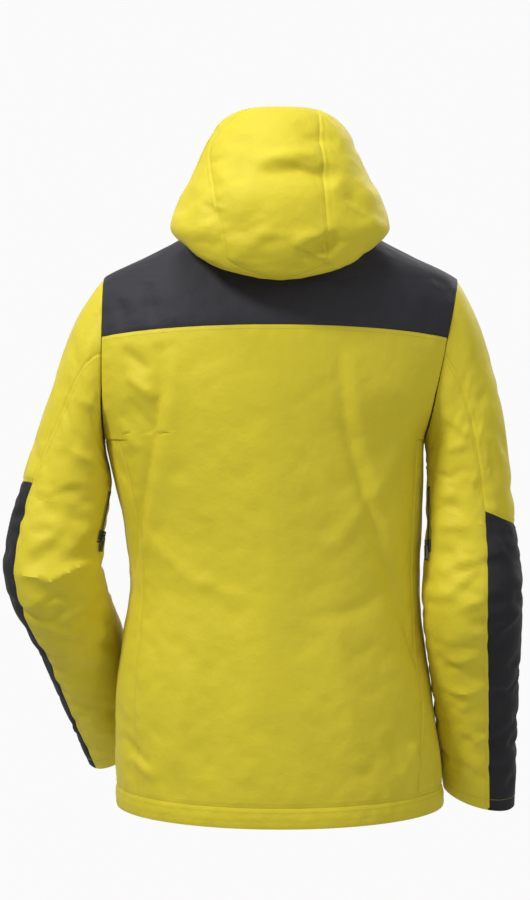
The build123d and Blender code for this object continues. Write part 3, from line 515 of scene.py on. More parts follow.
ARM_CREASES = {  # points in X and Z, and height
    1: [([(327, -451), (280, -459), (258, -448), (229, -434)], 6.5),
        ([(312, -426), (269, -399)], 3.5), ([(293, -404), (267, -395)], 2.5),
        ([(275, -431), (245, -410), (229, -391)], 3.5), ([(318, -498), (285, -477), (258, -461)], 3.5),
        ([(264, -509), (248, -498), (229, -474)], 4.0), ([(289, -522), (258, -528), (234, -529)], 4.5),
        ([(226, -560), (222, -515), (218, -488)], 3.5), ([(275, -557), (223, -562)], 3.0),
        ([(293, -582), (268, -600), (240, -627)], 2.0), ([(251, -657), (213, -662)], 2.5),
        ([(258, -300), (226, -318)], 3.0), ([(300, -360), (262, -340), (232, -338)], 2.5),
        ([(250, -238), (224, -246)], 3.5), ([(285, -640), (262, -668)], 2.0)],
    -1: [([(-203, -364), (-218, -349)], 3.5), ([(-194, -394), (-236, -393)], 3.5),
         ([(-197, -451), (-221, -439), (-254, -430)], 4.5), ([(-185, -481), (-209, -477), (-245, -442)], 4.0),
         ([(-218, -497), (-254, -479)], 3.5), ([(-197, -533), (-233, -534), (-257, -524)], 4.0),
         ([(-194, -548), (-221, -560), (-254, -551)], 4.5), ([(-206, -596), (-236, -599), (-263, -593)], 4.5),
         ([(-221, -623), (-245, -608)], 3.0), ([(-239, -668), (-266, -653)], 3.0),
         ([(-224, -708), (-260, -694)], 2.5), ([(-257, -427), (-278, -424)], 3.0),
         ([(-263, -527), (-299, -493)], 4.5), ([(-266, -593), (-296, -590)], 3.0),
         ([(-200, -250), (-236, -284)], 3.0), ([(-205, -300), (-232, -290)], 2.5)]}
for side, name in SIDES:
    arm = arms[side]
    ax, ap = rows_cols(arm)
    end, mid = arm.x[-1], arm.x[5]
    apin = smooth(ax / 45) * smooth((end - ax) / 28)
    along = 0.012 + 0.05 * np.exp(-((ax - mid) / 80) ** 2) + 0.016 * smooth((ax - mid) / 120)
    if side < 0:
        along = 0.014 + 0.032 * smooth((ax - mid + 110) / 120)
    arm.W = buckle(arm, along, 0.004 + 0 * ax, apin, 5.0, 120, 11 + side)
    for points, height in ARM_CREASES[side]:
        crease(arm, points, height * 1.15, 4.4, 13.0)
    for k, (z, dz) in enumerate(((-250, 30), (-330, 18), (-420, -16), (-455, 20), (-500, -20), (-560, 25))):
        lean_z = dz * side
        x_in, x_out = (205, 330) if side > 0 else (-190, -300)
        fold(arm, [(x_in, z - lean_z), (x_out, z + lean_z)], (-1) ** k * 3.0, 10, -1.0, 1.0)
    arm.W *= smooth(ax / 30) * smooth((end - ax) / 16)
    arm.W = np.clip(arm.W, -11, 10)
    loops[side] = armhole_loop(side)

hx, hp = rows_cols(hood)
hpin = smooth((hx - hood.x[2]) / 20) * smooth((hood.x[-3] - hx) / 20)
hood.W = buckle(hood, 0.012 + 0 * hx, 0.012 + 0 * hx, hpin, 3.5, 120, 5, 0.004, 2) * 0.8
HOOD_FOLDS = [
    ([(34, 44), (-10, 58), (-40, 55), (-75, 34)], 4.0, 9), ([(20, 32), (-25, 42), (-66, 22)], -3.5, 9),
    ([(-20, -66), (-50, -56), (-72, -42)], -7.5, 8), ([(-14, -50), (-48, -40), (-70, -28)], 3.0, 8),
    ([(93, -6), (72, 0)], -3.5, 5), ([(99, 62), (62, 25), (37, -25)], 3.0, 14),
    ([(-87, 56), (-62, 6)], 2.5, 10), ([(60, 90), (40, 60), (52, 20)], -2.5, 12),
    ([(-20, 100), (-36, 80), (-70, 74)], -3.0, 10), ([(20, -10), (50, -34), (80, -40)], -3.0, 10),
    ([(8, -34), (40, -58), (62, -60)], 2.5, 9), ([(-80, 10), (-108, -20)], -3.0, 9),
    ([(-92, 30), (-118, 2)], 2.5, 9), ([(104, 20), (120, -14)], -3.0, 8)]
for points, height, width in HOOD_FOLDS:
    fold(hood, points, height * 0.7, width, 1.0, 1.0)
HOOD_CREASES = [([(9, 50), (-20, 47), (-50, 37)], 3.5), ([(-14, -51), (-40, -62), (-68, -78)], 4.5),
                ([(87, 0), (71, -9)], 3.0), ([(60, 66), (84, 52)], 2.0), ([(20, -20), (52, -36)], 2.5),
                ([(-80, 0), (-108, -22)], 2.5)]
for points, height in HOOD_CREASES:
    crease(hood, points, height, 2.4, 11.0)
hood.W *= smooth((hx - hood.x[1]) / 14) * smooth((hood.x[-2] - hx) / 10)

# ------------------------------------------------------------------ materials
MATERIALS = {}


def material(name, colour, rough=0.6, sheen=0.0, weave=0.0, ripple=0.0, scale=900.0, spread=0.06, metal=0.0):
    """A procedural surface: colour with slight variation, a fine weave and a faint crumple."""
    if name in MATERIALS:
        return MATERIALS[name]
    m = bpy.data.materials.new(name)
    m.use_nodes = True
    nt = m.node_tree
    nt.nodes.clear()
    out = nt.nodes.new("ShaderNodeOutputMaterial")
    s = nt.nodes.new("ShaderNodeBsdfPrincipled")
    nt.links.new(s.outputs[0], out.inputs[0])
    tc = nt.nodes.new("ShaderNodeTexCoord")
    cloud = nt.nodes.new("ShaderNodeTexNoise")
    cloud.inputs["Scale"].default_value = 14.0
    cloud.inputs["Detail"].default_value = 4.0
    nt.links.new(tc.outputs["Object"], cloud.inputs["Vector"])
    ramp = nt.nodes.new("ShaderNodeValToRGB")
    low = [c * (1 - spread) for c in colour]
    high = [min(1.0, c * (1 + spread)) for c in colour]
    ramp.color_ramp.elements[0].color = (*low, 1)
    ramp.color_ramp.elements[1].color = (*high, 1)
    ramp.color_ramp.elements[0].position = 0.35
    ramp.color_ramp.elements[1].position = 0.65
    nt.links.new(cloud.outputs["Fac"], ramp.inputs["Fac"])
    nt.links.new(ramp.outputs["Color"], s.inputs["Base Color"])
    s.inputs["Roughness"].default_value = rough
    s.inputs["Metallic"].default_value = metal
    s.inputs["Specular IOR Level"].default_value = 0.5 if metal or rough < 0.5 else 0.28
    if sheen:
        s.inputs["Sheen Weight"].default_value = sheen
        s.inputs["Sheen Roughness"].default_value = 0.5
    last = None
    for amount, kind in ((weave, "weave"), (ripple, "crumple")):
        if not amount:
            continue
        if kind == "weave":
            tex = nt.nodes.new("ShaderNodeTexVoronoi")
            tex.inputs["Scale"].default_value = scale
            height = tex.outputs["Distance"]
            depth = 0.0004
        else:
            tex = nt.nodes.new("ShaderNodeTexNoise")
            tex.inputs["Scale"].default_value = 60.0
            tex.inputs["Detail"].default_value = 5.0
            tex.inputs["Roughness"].default_value = 0.55
            height = tex.outputs["Fac"]
            depth = 0.004
        nt.links.new(tc.outputs["Object"], tex.inputs["Vector"])
        bump = nt.nodes.new("ShaderNodeBump")
        bump.inputs["Strength"].default_value = amount
        bump.inputs["Distance"].default_value = depth
        nt.links.new(height, bump.inputs["Height"])
        if last:
            nt.links.new(last.outputs["Normal"], bump.inputs["Normal"])
        last = bump
    if last:
        nt.links.new(last.outputs["Normal"], s.inputs["Normal"])
    MATERIALS[name] = m
    return m


YELLOW = (0.64, 0.535, 0.024)
shell = material("shell_yellow", YELLOW, 0.62, 0.04, 0.25, 0.3, spread=0.025)
yoke_cloth = material("shell_charcoal", (0.027, 0.0255, 0.032), 0.7, 0.03, 0.3, 0.3)
guard_cloth = material("guard_cloth", (0.016, 0.0145, 0.017), 0.75, 0.02, 0.3, 0.3)
thread = material("thread_yellow", (0.44, 0.38, 0.03), 0.7)
dark_thread = material("thread_charcoal", (0.035, 0.035, 0.042), 0.7)
wadding = material("wadding", (0.72, 0.72, 0.70), 0.95, 0.3, 0.0, 0.5)
lining_cloth = material("lining_taffeta", (0.060, 0.062, 0.070), 0.42, 0.1, 0.2, 0.15)
fleece = material("brushed_fleece", (0.055, 0.056, 0.064), 0.95, 0.5, 0.0, 0.6, spread=0.2)
tape_cloth = material("zip_tape", (0.020, 0.020, 0.023), 0.8, 0.1, 0.4)
teeth_plastic = material("zip_teeth", (0.030, 0.030, 0.032), 0.35)
slider_metal = material("slider_metal", (0.06, 0.06, 0.065), 0.35, metal=0.6)
pull_rubber = material("pull_rubber", (0.022, 0.022, 0.024), 0.55)
webbing = material("webbing", (0.030, 0.030, 0.034), 0.8, 0.2, 0.5, 0.0, 500.0)


# ------------------------------------------------------------------ meshes
class Piece:
    """Vertices, quads and material numbers gathered for one object."""

    def __init__(self):
        self.v, self.f, self.m, self.count = [], [], [], 0

    def add(self, verts, quads, mat):
        verts, quads = np.asarray(verts, float), np.asarray(quads, int)
        self.v.append(verts)
        self.f.append(quads + self.count)
        self.m.append(np.full(len(quads), mat, int))
        self.count += len(verts)

    def make(self, name, mats, sharp=50):
        v = np.vstack(self.v) * MM
        f = np.vstack(self.f)
        mats_of = np.concatenate(self.m)
        mesh = bpy.data.meshes.new(name)
        mesh.vertices.add(len(v))
        mesh.vertices.foreach_set("co", v.ravel())
        mesh.loops.add(len(f) * 4)
        mesh.loops.foreach_set("vertex_index", f.ravel())
        mesh.polygons.add(len(f))
        mesh.polygons.foreach_set("loop_start", np.arange(len(f)) * 4)
        mesh.polygons.foreach_set("material_index", mats_of)
        mesh.update(calc_edges=True)
        mesh.validate()
        for mat in mats:
            mesh.materials.append(mat)
        mesh.polygons.foreach_set("use_smooth", np.ones(len(mesh.polygons), bool))
        mesh.set_sharp_from_angle(angle=radians(sharp))
        obj = bpy.data.objects.new(name, mesh)
        bpy.context.scene.collection.objects.link(obj)
        return obj


def grid_quads(rows, cols):
    i, j = np.meshgrid(np.arange(rows - 1), np.arange(cols - 1), indexing="ij")
    a = (i * cols + j).ravel()
    return np.stack([a, a + 1, a + cols + 1, a + cols], 1)


def slab(piece, top, bottom, mat, flip=False):
    """A closed sheet between two grids of points."""
    rows, cols = top.shape[:2]
    n = rows * cols
    q = grid_quads(rows, cols)
    ring = np.concatenate([np.arange(cols), cols - 1 + cols * np.arange(1, rows),
                           (rows - 1) * cols + np.arange(cols - 2, -1, -1),
                           cols * np.arange(rows - 2, 0, -1)])
    nxt = np.roll(ring, -1)
    rim = np.stack([nxt, ring, ring + n, nxt + n], 1)
    quads = np.vstack([q, (q + n)[:, ::-1], rim])
    if flip:
        quads = quads[:, ::-1]
    piece.add(np.vstack([top.reshape(-1, 3), bottom.reshape(-1, 3)]), quads, mat)


def stitches(piece, line, normals, mat, pitch=3.4, length=2.3, width=0.34, height=0.32):
    """A row of stitches along a line on the cloth."""
    line, normals = np.asarray(line), np.asarray(normals)
    seg = np.linalg.norm(np.diff(line, axis=0), axis=1)
    run = np.concatenate([[0], np.cumsum(seg)])
    if run[-1] < pitch * 2:
        return
    s = np.arange(pitch / 2, run[-1] - pitch / 2, pitch)

    def at(t):
        return np.stack([np.interp(t, run, line[:, i]) for i in range(3)], 1)
    mid, a, b = at(s), at(s - length / 2), at(s + length / 2)
    n = unit(np.stack([np.interp(s, run, normals[:, i]) for i in range(3)], 1))
    d = unit(b - a)
    side = unit(np.cross(d, n))
    up = np.cross(side, d)
    cross = [(side * width), (up * height), (-side * width), (-up * height * 0.6)]
    verts = np.concatenate([np.stack([p + c * k for c in cross], 1)
                            for p, k in ((a - up * 0.2, 0.5), (mid + up * 0.12, 1.0), (b - up * 0.2, 0.5))], 1)
    count = len(s)
    base = (np.arange(count) * 12)[:, None]
    quads = []
    for r in (0, 4):
        for c in range(4):
            quads.append([r + c, r + (c + 1) % 4, r + 4 + (c + 1) % 4, r + 4 + c])
    quads.append([3, 2, 1, 0])
    quads.append([8, 9, 10, 11])
    quads = np.array(quads)
    piece.add(verts.reshape(-1, 3), (base[:, :, None] + quads[None]).reshape(-1, 4), mat)


PHI_NOISE = np.random.RandomState(3).uniform(0, 6.28, 12)


def pucker(run, seed):
    """Small irregular gathers along a seam."""
    return (np.sin(run / 5.1 + PHI_NOISE[seed % 12]) + np.sin(run / 3.3 + PHI_NOISE[(seed + 5) % 12])
            + np.sin(run / 8.7 + PHI_NOISE[(seed + 8) % 12])) / 3


def cloth(piece, tube, x0, x1, left, right, ply, seams="LRBT", stitch="", mat=0, thread_mat=1, fit=None,
          rows=None, puff=1.0, seed=0, press=None):
    """One panel of a tube between two edges and two rows, as a closed sheet of cloth.
    seams: which of its Left, Right, Bottom and Top edges are sewn; stitch: which are topstitched."""
    if rows is None:
        xs = np.linspace(x0, x1, max(3, int(abs(x1 - x0) / H) + 1))
    else:
        xs = rows
    l, r = left(xs), right(xs)
    o, a, b = tube.parts(xs)
    reach = (np.linalg.norm(a, axis=1) + np.linalg.norm(b, axis=1)) / 2
    wide = np.max(np.radians(r - l) * reach)
    cols = max(4, int(wide / H) + 1)
    t = np.linspace(0, 1, cols)
    edge = 0.5 - 0.5 * np.cos(np.pi * t)
    t = t * 0.7 + edge * 0.3
    x = np.repeat(xs[:, None], cols, 1)
    phi = l[:, None] + (r - l)[:, None] * t[None]
    p, n = tube.surface(x, phi)
    if fit:
        p = fit(x, phi, p)
    # distances from the edges, along the surface
    du = np.linalg.norm(np.diff(p, axis=1), axis=2)
    from_l = np.hstack([np.zeros((len(xs), 1)), np.cumsum(du, 1)])
    from_r = from_l[:, -1:] - from_l
    dv = np.linalg.norm(np.diff(p, axis=0), axis=2)
    from_b = np.vstack([np.zeros((1, cols)), np.cumsum(dv, 0)])
    from_t = from_b[-1:] - from_b
    far = np.full(x.shape, 1e3)
    near = {"L": from_l, "R": from_r, "B": from_b, "T": from_t}
    run = {"L": from_b, "R": from_b, "B": from_l, "T": from_l}
    push = np.zeros(x.shape)
    dist = far.copy()
    for k, key in enumerate(seams):
        d = near[key]
        dist = np.minimum(dist, d)
        push -= 1.1 * np.exp(-(d / 2.2) ** 2) + 0.35 * np.exp(-((d - 7.0) / 2.6) ** 2)
        push += 0.75 * pucker(run[key], seed + k) * np.exp(-((d - 11) / 8.0) ** 2)
    push += puff * (1 - np.exp(-(np.minimum(dist, 200) / 16.0) ** 1.5)) * 1.2
    real = np.gradient(p, axis=0), np.gradient(p, axis=1)
    nn = unit(np.cross(real[1], real[0]))
    flip = (nn * n).sum() < 0
    if flip:
        nn = -nn
    top = p + nn * (push - ply[0])[..., None]
    bottom = p + nn * (push - ply[1])[..., None]
    if press:
        top, bottom = press(top, ply[0]), press(bottom, ply[1])
    slab(piece, top, bottom, mat, flip=not flip)
    for key in stitch:
        d = near[key]
        pts, nrm = [], []
        if key in "LR":
            for i in range(len(xs)):
                row = d[i] if key == "L" else d[i][::-1]
                rt = top[i] if key == "L" else top[i][::-1]
                rn = nn[i] if key == "L" else nn[i][::-1]
                if row[-1] < 14:
                    continue
                pts.append([np.interp(5.0, row, rt[:, c]) for c in range(3)])
                nrm.append([np.interp(5.0, row, rn[:, c]) for c in range(3)])
        else:
            for j in range(cols):
                col = d[:, j] if key == "B" else d[:, j][::-1]
                ct = top[:, j] if key == "B" else top[:, j][::-1]
                cn = nn[:, j] if key == "B" else nn[:, j][::-1]
                if col[-1] < 12:
                    continue
                pts.append([np.interp(5.0, col, ct[:, c]) for c in range(3)])
                nrm.append([np.interp(5.0, col, cn[:, c]) for c in range(3)])
        if len(pts) > 3:
            stitches(piece, np.array(pts), np.array(nrm), thread_mat)
    return top, bottom


def dense(x0, x1, ends=()):
    """Rows with more of them near the given places."""
    xs = list(np.linspace(x0, x1, max(4, int((x1 - x0) / H) + 1)))
    for e in ends:
        xs += [e + s for s in (-6, -4, -2.5, -1.5, -0.7, 0, 0.7, 1.5, 2.5, 4, 6) if x0 < e + s < x1]
    xs = np.unique(np.round(xs, 3))
    keep = np.concatenate([[True], np.diff(xs) > 0.3])
    return xs[keep]


def constant(value):
    return lambda x: np.full(x.shape, float(value))


SHELL, FILL, LINING = (0.0, 1.6), (2.0, 8.4), (8.9, 9.8)
ARM_FILL, ARM_LINING = (2.0, 6.4), (6.9, 7.7)
arm_rows = (BX[7] + 2, BX[8], BX[11] + 2)
limits = {(s, b): (lambda x, s=s, b=b: arm_limit(x, s, b)) for s in (1, -1) for b in (True, False)}
rear = {s: (limits[s, True]) for s in (1, -1)}
fore = {1: limits[1, False], -1: turned(limits[-1, False])}
back_seam = {s: seam_at(BACK_SEAM, s, True) for s in (1, -1)}
front_seam = {1: seam_at(FRONT_SEAM, 1, False), -1: turned(seam_at(FRONT_SEAM, -1, False))}


# ------------------------------------------------------------------ body panels
def slot_cut(obj, slots):
    """Opens a slot in a panel where a zip lies."""
    import bmesh
    bm = bmesh.new()
    bm.from_mesh(obj.data)
    for origin, ux, uy, uz, half, length in slots:
        doomed = []
        local = {}
        for v in bm.verts:
            r = np.array(v.co) - origin
            local[v] = (r @ ux, r @ uy, r @ uz)
        for f in bm.faces:
            c = np.mean([local[v] for v in f.verts], axis=0)
            if abs(c[0]) < half and -half * 0.3 < c[1] < length + half * 0.3 and abs(c[2]) < 0.016:
                doomed.append(f)
        edge_verts = {v for f in doomed for v in f.verts}
        bmesh.ops.delete(bm, geom=doomed, context="FACES")
        for v in edge_verts:
            if not v.is_valid:
                continue
            a, b, c = local[v]
            if abs(c) > 0.016:
                continue
            if 0 < b < length:
                na = (half if a > 0 else -half)
                v.co += Vector(tuple(ux * (na - a)))
    bm.to_mesh(obj.data)
    bm.free()


def zip_frame(node_tape):
    """Origin, directions and length of a straight zip from its CAD node."""
    v = np.array([tuple(p.co) for p in frame["nodes"][node_tape].data.vertices])
    c = v.mean(axis=0)
    _, _, axes = np.linalg.svd(v - c, full_matrices=False)
    up = axes[0] * (1 if axes[0][2] > 0 else -1)
    along = (v - c) @ up
    side = axes[1]
    out = np.cross(side, up)
    return c + up * along.min(), side, up, out, along.max() - along.min()


parts = {}


def done(name, piece, mats, body_name=None, nodes=(), bend=None):
    """Makes the piece, and says what it stands for."""
    obj = piece.make(name, mats)
    if nodes:
        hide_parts(*nodes)
    parts[name] = (obj, body_name, bend)
    return obj


Y = [shell, thread]
D = [yoke_cloth, dark_thread]
G = [guard_cloth, dark_thread]

p = Piece()
cloth(p, body, BX[1], BX[7], back_seam[1], back_seam[-1], SHELL, "LRB", "LRB", seed=1)
cloth(p, body, BX[7], BX[9], rear[1], rear[-1], SHELL, "LRT", "T", rows=dense(BX[7], BX[9], arm_rows), seed=2)
done("back_panel_cloth", p, Y, "torso", ["back_panel"])
p = Piece()
yoke_rows = dense(BX[9], BX[13], arm_rows)
cloth(p, body, BX[9], BX[13], rear[1], rear[-1], SHELL, "LRBT", "B", rows=yoke_rows, seed=4)
done("back_yoke_cloth", p, D, "torso", ["back_yoke"])
for side, name in SIDES:
    edges = (front_seam[1], back_seam[1]) if side > 0 else (back_seam[-1], front_seam[-1])
    p = Piece()
    cloth(p, body, BX[1], BX[7], *edges, SHELL, "LRBT", "B", seed=5)
    done(f"{name}_side_cloth", p, Y, "torso", [f"{name}_side_panel"])
    edges = (zip_edge(1), front_seam[1]) if side > 0 else (front_seam[-1], zip_edge(-1))
    p = Piece()
    cloth(p, body, BX[1], BX[7], *edges, SHELL, "LRB", "LRB", seed=6)
    edges = (zip_edge(1), fore[1]) if side > 0 else (fore[-1], zip_edge(-1))
    cloth(p, body, BX[7], BX[9], *edges, SHELL, "LRT", ("L" if side > 0 else "R") + "T",
          rows=dense(BX[7], BX[9], arm_rows), seed=7)
    done(f"{name}_front_cloth", p, Y, "torso", [f"{name}_front_panel"])
    p = Piece()
    cloth(p, body, BX[9], BX[13], *edges, SHELL, "LRBT", ("L" if side > 0 else "R") + "B", rows=yoke_rows, seed=8)
    done(f"{name}_front_yoke_cloth", p, D, "torso", [f"{name}_front_yoke"])
p = Piece()
cloth(p, body, BX[0], BX[1], zip_edge(1), zip_edge(-1), (-0.5, 2.4), "BT", "T",
      rows=np.linspace(BX[0], BX[1], 9), seed=9, puff=0.6)
done("hem_band_cloth", p, Y, "torso", ["hem_band"])
for ply, name, node, mats, slot in ((FILL, "torso_wadding", "torso_insulation", [wadding], "insulation"),
                                    (LINING, "torso_lining_cloth", "torso_lining", [lining_cloth], "lining")):
    p = Piece()
    cloth(p, body, BX[0] + 2, BX[7], zip_edge(1), zip_edge(-1), ply, "", puff=0)
    cloth(p, body, BX[7], BX[13], rear[1], rear[-1], ply, "", rows=dense(BX[7], BX[13], arm_rows), puff=0)
    for edges in ((zip_edge(1), fore[1]), (fore[-1], zip_edge(-1))):
        cloth(p, body, BX[7], BX[13], *edges, ply, "", rows=dense(BX[7], BX[13], arm_rows), puff=0)
    done(name, p, mats, "torso", [node])

# ------------------------------------------------------------------ sleeves
for side, name in SIDES:
    arm = arms[side]
    AX = arm.x
    guard = GUARD[side]

    def seam(end, turn=0.0, AX=AX, guard=guard):
        top = (-84.0, 86.0)[end]
        return lambda x: turn + top + np.clip(x / AX[3], 0, 1) ** 0.8 * (guard[end] - top)
    fit = (lambda x, phi, p, side=side: fit_armhole(side, x, phi, p))
    cut_x = (AX[2] + AX[3]) / 2
    s, e, w = [np.array(q, float) for q in JOINTS[side]]
    u, f = unit(e - s), unit(w - e)
    low_cut = AX[3] + 20
    armpit, inner_end = arm.base(np.array([0.0, low_cut]), np.array([180.0, 180.0]))[0]
    bend_way = np.array((0.9 * side, 0.0, -0.436))
    reach = (inner_end - armpit) @ bend_way
    shoulder_bend = ("torso", f"{name}_upper_sleeve", armpit - bend_way * reach * 0.14, armpit + bend_way * reach)
    elbow_bend = (f"{name}_upper_sleeve", f"{name}_forearm", e - u * 55, e + f * 55)
    p = Piece()
    cloth(p, arm, 0, cut_x, seam(0), seam(1), SHELL, "LRB", "", fit=fit, seed=1)
    done(f"{name}_top_sleeve_cloth", p, Y, None, [f"{name}_top_sleeve"], shoulder_bend)
    p = Piece()
    cloth(p, arm, cut_x, AX[3], seam(0), seam(1), SHELL, "LRT", "T", seed=2)
    done(f"{name}_top_sleeve_low", p, Y, None, [], elbow_bend)
    p = Piece()
    cloth(p, arm, 0, low_cut, seam(1), seam(0, 360), SHELL, "LRB", "LR", fit=fit, seed=3)
    done(f"{name}_under_sleeve_cloth", p, Y, None, [f"{name}_under_sleeve"], shoulder_bend)
    p = Piece()
    cloth(p, arm, low_cut, AX[7], seam(1), seam(0, 360), SHELL, "LR", "LR", seed=4)
    done(f"{name}_under_sleeve_low", p, Y, None, [f"{name}_forearm_sleeve"], elbow_bend)
    p = Piece()
    cloth(p, arm, AX[3], AX[7], seam(0), seam(1), SHELL, "LRB", "B", seed=6)
    done(f"{name}_guard_cloth", p, G, None, [f"{name}_elbow_guard", f"{name}_forearm_guard"], elbow_bend)
    for ply, word, mats, slot_name, upper_node, fore_node in (
            (ARM_FILL, "wadding", [wadding], "insulation", "sleeve_insulation", "forearm_insulation"),
            (ARM_LINING, "lining", [lining_cloth], "lining", "sleeve_lining", "forearm_lining")):
        stop = AX[7] - 24.5
        p = Piece()
        cloth(p, arm, 0, low_cut, constant(0), constant(360), ply, "", fit=fit, puff=0)
        done(f"{name}_sleeve_{word}_upper", p, mats, None, [f"{name}_{upper_node}"], shoulder_bend)
        p = Piece()
        cloth(p, arm, low_cut, stop, constant(0), constant(360), ply, "", puff=0)
        done(f"{name}_sleeve_{word}_low", p, mats, None, [f"{name}_{fore_node}"], elbow_bend)
    p = Piece()
    cloth(p, arm, AX[7] - 24, AX[7] - 0.3, constant(0), constant(360), (1.9, 3.2), "", "", puff=0)
    done(f"{name}_cuff_facing_cloth", p, [lining_cloth], f"{name}_forearm", [f"{name}_cuff_facing"], None)
    # the turned edge of the cuff, as a rolled rim with a stitch line above it
    p = Piece()
    phis = np.linspace(0, 360, 97)[:-1]
    rim, rim_n = arm.surface(np.full(96, AX[7]), phis)
    o = arm.parts(np.array([AX[7]]))[0][0]
    down = f
    ring_out = unit(rim - o - ((rim - o) @ down)[:, None] * down)
    verts, rings_n = [], 8
    for k in range(rings_n):
        ang = 2 * np.pi * k / rings_n
        verts.append(rim - ring_out * 1.5 + ring_out * 2.1 * np.cos(ang) + down * 1.7 * np.sin(ang))
    verts = np.array(verts)
    quads = []
    for k in range(rings_n):
        for i in range(96):
            quads.append([k * 96 + i, k * 96 + (i + 1) % 96, ((k + 1) % rings_n) * 96 + (i + 1) % 96,
                          ((k + 1) % rings_n) * 96 + i])
    lo, hi = guard
    dark = [(phis[q[0] % 96] > lo % 360 or phis[q[0] % 96] < hi) for q in quads]
    quads = np.array(quads)
    dark = np.array(dark)
    if side > 0:
        quads = quads[:, ::-1]
    base_count = p.count
    p.add(verts.reshape(-1, 3), quads[~dark], 0)
    p.f.append(quads[dark] + base_count)
    p.m.append(np.full(int(dark.sum()), 2, int))
    xs = np.full(200, AX[7] - 14.0)
    ph = np.linspace(0, 360, 200)
    line, line_n = arm.surface(xs, ph)
    stitches(p, line + line_n * 1.15, line_n, 1)
    done(f"{name}_cuff_edge", p, [shell, thread, guard_cloth], f"{name}_forearm", [], None)


# ------------------------------------------------------------------ collar
def collar_tube():
    rings = np.array([(-45, 0, 12, 88), (-4, 41, 11, 85), (36, 82, 8, 82)], float)
    yf = front_y(rings[:, 0])
    origin = np.stack([0 * yf, (yf + rings[:, 2]) / 2, (rings[:, 0] + rings[:, 1]) / 2], 1)
    a = np.stack([rings[:, 3], 0 * yf, 0 * yf], 1)
    b = np.stack([0 * yf, (rings[:, 2] - yf) / 2, (rings[:, 1] - rings[:, 0]) / 2], 1)
    return Tube([0, 41, 82], origin, a, b, 6.0)


neck = collar_tube()
nx, nphi = rows_cols(neck)
npin = smooth(nx / 18) * smooth((82 - nx) / 14) * smooth((np.abs(neck.P[..., 0]) - 18) / 20 + (neck.P[..., 1] > -60))
neck.W = buckle(neck, 0.012 + 0 * nx, 0.01 + 0 * nx, npin, 2.0, 120, 21, 0.004) * 0.6


def neck_edge(side):
    def run(x):
        o, a, b = neck.parts(x)
        turn = np.degrees(np.arccos(side * ZIP_SLOT / a[:, 0]))
        return -turn + (0 if side > 0 else 360)
    return run


p = Piece()
cloth(p, neck, 0, 82, neck_edge(1), neck_edge(-1), SHELL, "LRBT", "LRT", rows=np.linspace(0, 82, 20), seed=3)
done("collar_cloth", p, Y, "torso", ["collar"])
p = Piece()
cloth(p, neck, 1, 81, neck_edge(1), neck_edge(-1), (2.0, 5.0), "BT", "", rows=np.linspace(1, 81, 18), seed=5)
done("collar_fleece", p, [fleece], "torso", ["collar_lining"])

# ------------------------------------------------------------------ hood
bx, bphi = np.meshgrid(np.linspace(BX[8], BX[13], 60), np.linspace(0, 357, 120), indexing="ij")
surf, _ = body.surface(bx, bphi)
quads = grid_quads(60, 120)
closing = np.array([[i * 120 + 119, i * 120, (i + 1) * 120, (i + 1) * 120 + 119] for i in range(59)])
shoulders = BVHTree.FromPolygons([Vector(tuple(q)) for q in surf.reshape(-1, 3)],
                                 [tuple(int(k) for k in q) for q in np.vstack([quads, closing])])


def rest_on_shoulders(points, depth):
    """The hood lies on the shoulders instead of sinking into them."""
    out = points.copy()
    flat = out.reshape(-1, 3)
    for i, q in enumerate(flat):
        if q[2] > 10:
            continue
        hit, _, _, _ = shoulders.ray_cast(Vector((q[0], q[1], 400.0)), Vector((0, 0, -1)))
        if hit is not None:
            low = hit.z + 5.0 - depth
            if q[2] < low:
                flat[i, 2] = low
    return out


def hood_left_edge(x):
    return hood_edge(x)


def hood_right_edge(x):
    return 180 - hood_edge(x)


HX = hood.x
hood_bend = ("torso", "hood", np.array((0.0, 60.0, -95.0)), np.array((0.0, 60.0, 60.0)))
hood_rows = dense(HX[0] + 0.5, HX[-1] - 0.5)
for name, edges, seams, stitch in (
        ("hood_center", (hood_seam(1), hood_seam(-1)), "LR", "LR"),
        ("hood_left", (hood_left_edge, hood_seam(1)), "R", ""),
        ("hood_right", (hood_seam(-1), hood_right_edge), "L", "")):
    p = Piece()
    cloth(p, hood, HX[0], HX[-1], *edges, (0, 1.4), seams, stitch, rows=hood_rows, seed=2, press=rest_on_shoulders)
    done(f"{name}_cloth", p, Y, None, [f"{name}_panel"], hood_bend)
p = Piece()
cloth(p, hood, HX[0], HX[-1], hood_left_edge, hood_right_edge, (1.8, 2.6), "", "", rows=hood_rows, puff=0,
      press=rest_on_shoulders)
done("hood_lining_cloth", p, [lining_cloth], None, ["hood_lining"], hood_bend)
# the bound edge of the mouth
rows_in = hood_rows
edge = hood_edge(rows_in)
open_rows = edge > -86
pl, nl = hood.surface(rows_in[open_rows], edge[open_rows])
pr, nr = hood.surface(rows_in[open_rows], 180 - edge[open_rows])
pl, pr = rest_on_shoulders(pl, 0), rest_on_shoulders(pr, 0)
path = np.vstack([pl, pr[::-1]])
path_n = np.vstack([nl, nr[::-1]])
seg = np.linalg.norm(np.diff(path, axis=0), axis=1)
keep = np.concatenate([[True], seg > 0.4])
path, path_n = path[keep], path_n[keep]
for _ in range(3):
    path[1:-1] = (path[:-2] + 2 * path[1:-1] + path[2:]) / 4
tangent = unit(np.gradient(path, axis=0))
across = unit(np.cross(tangent, path_n))
centre = path.mean(axis=0)
if ((path - centre) * across).sum() > 0:
    across = -across
p = Piece()
verts = []
for k in range(10):
    ang = 2 * np.pi * k / 10
    verts.append(path - across * 3.0 + across * 4.8 * np.cos(ang) + path_n * 2.1 * np.sin(ang) - path_n * 1.0)
verts = np.array(verts)
m = len(path)
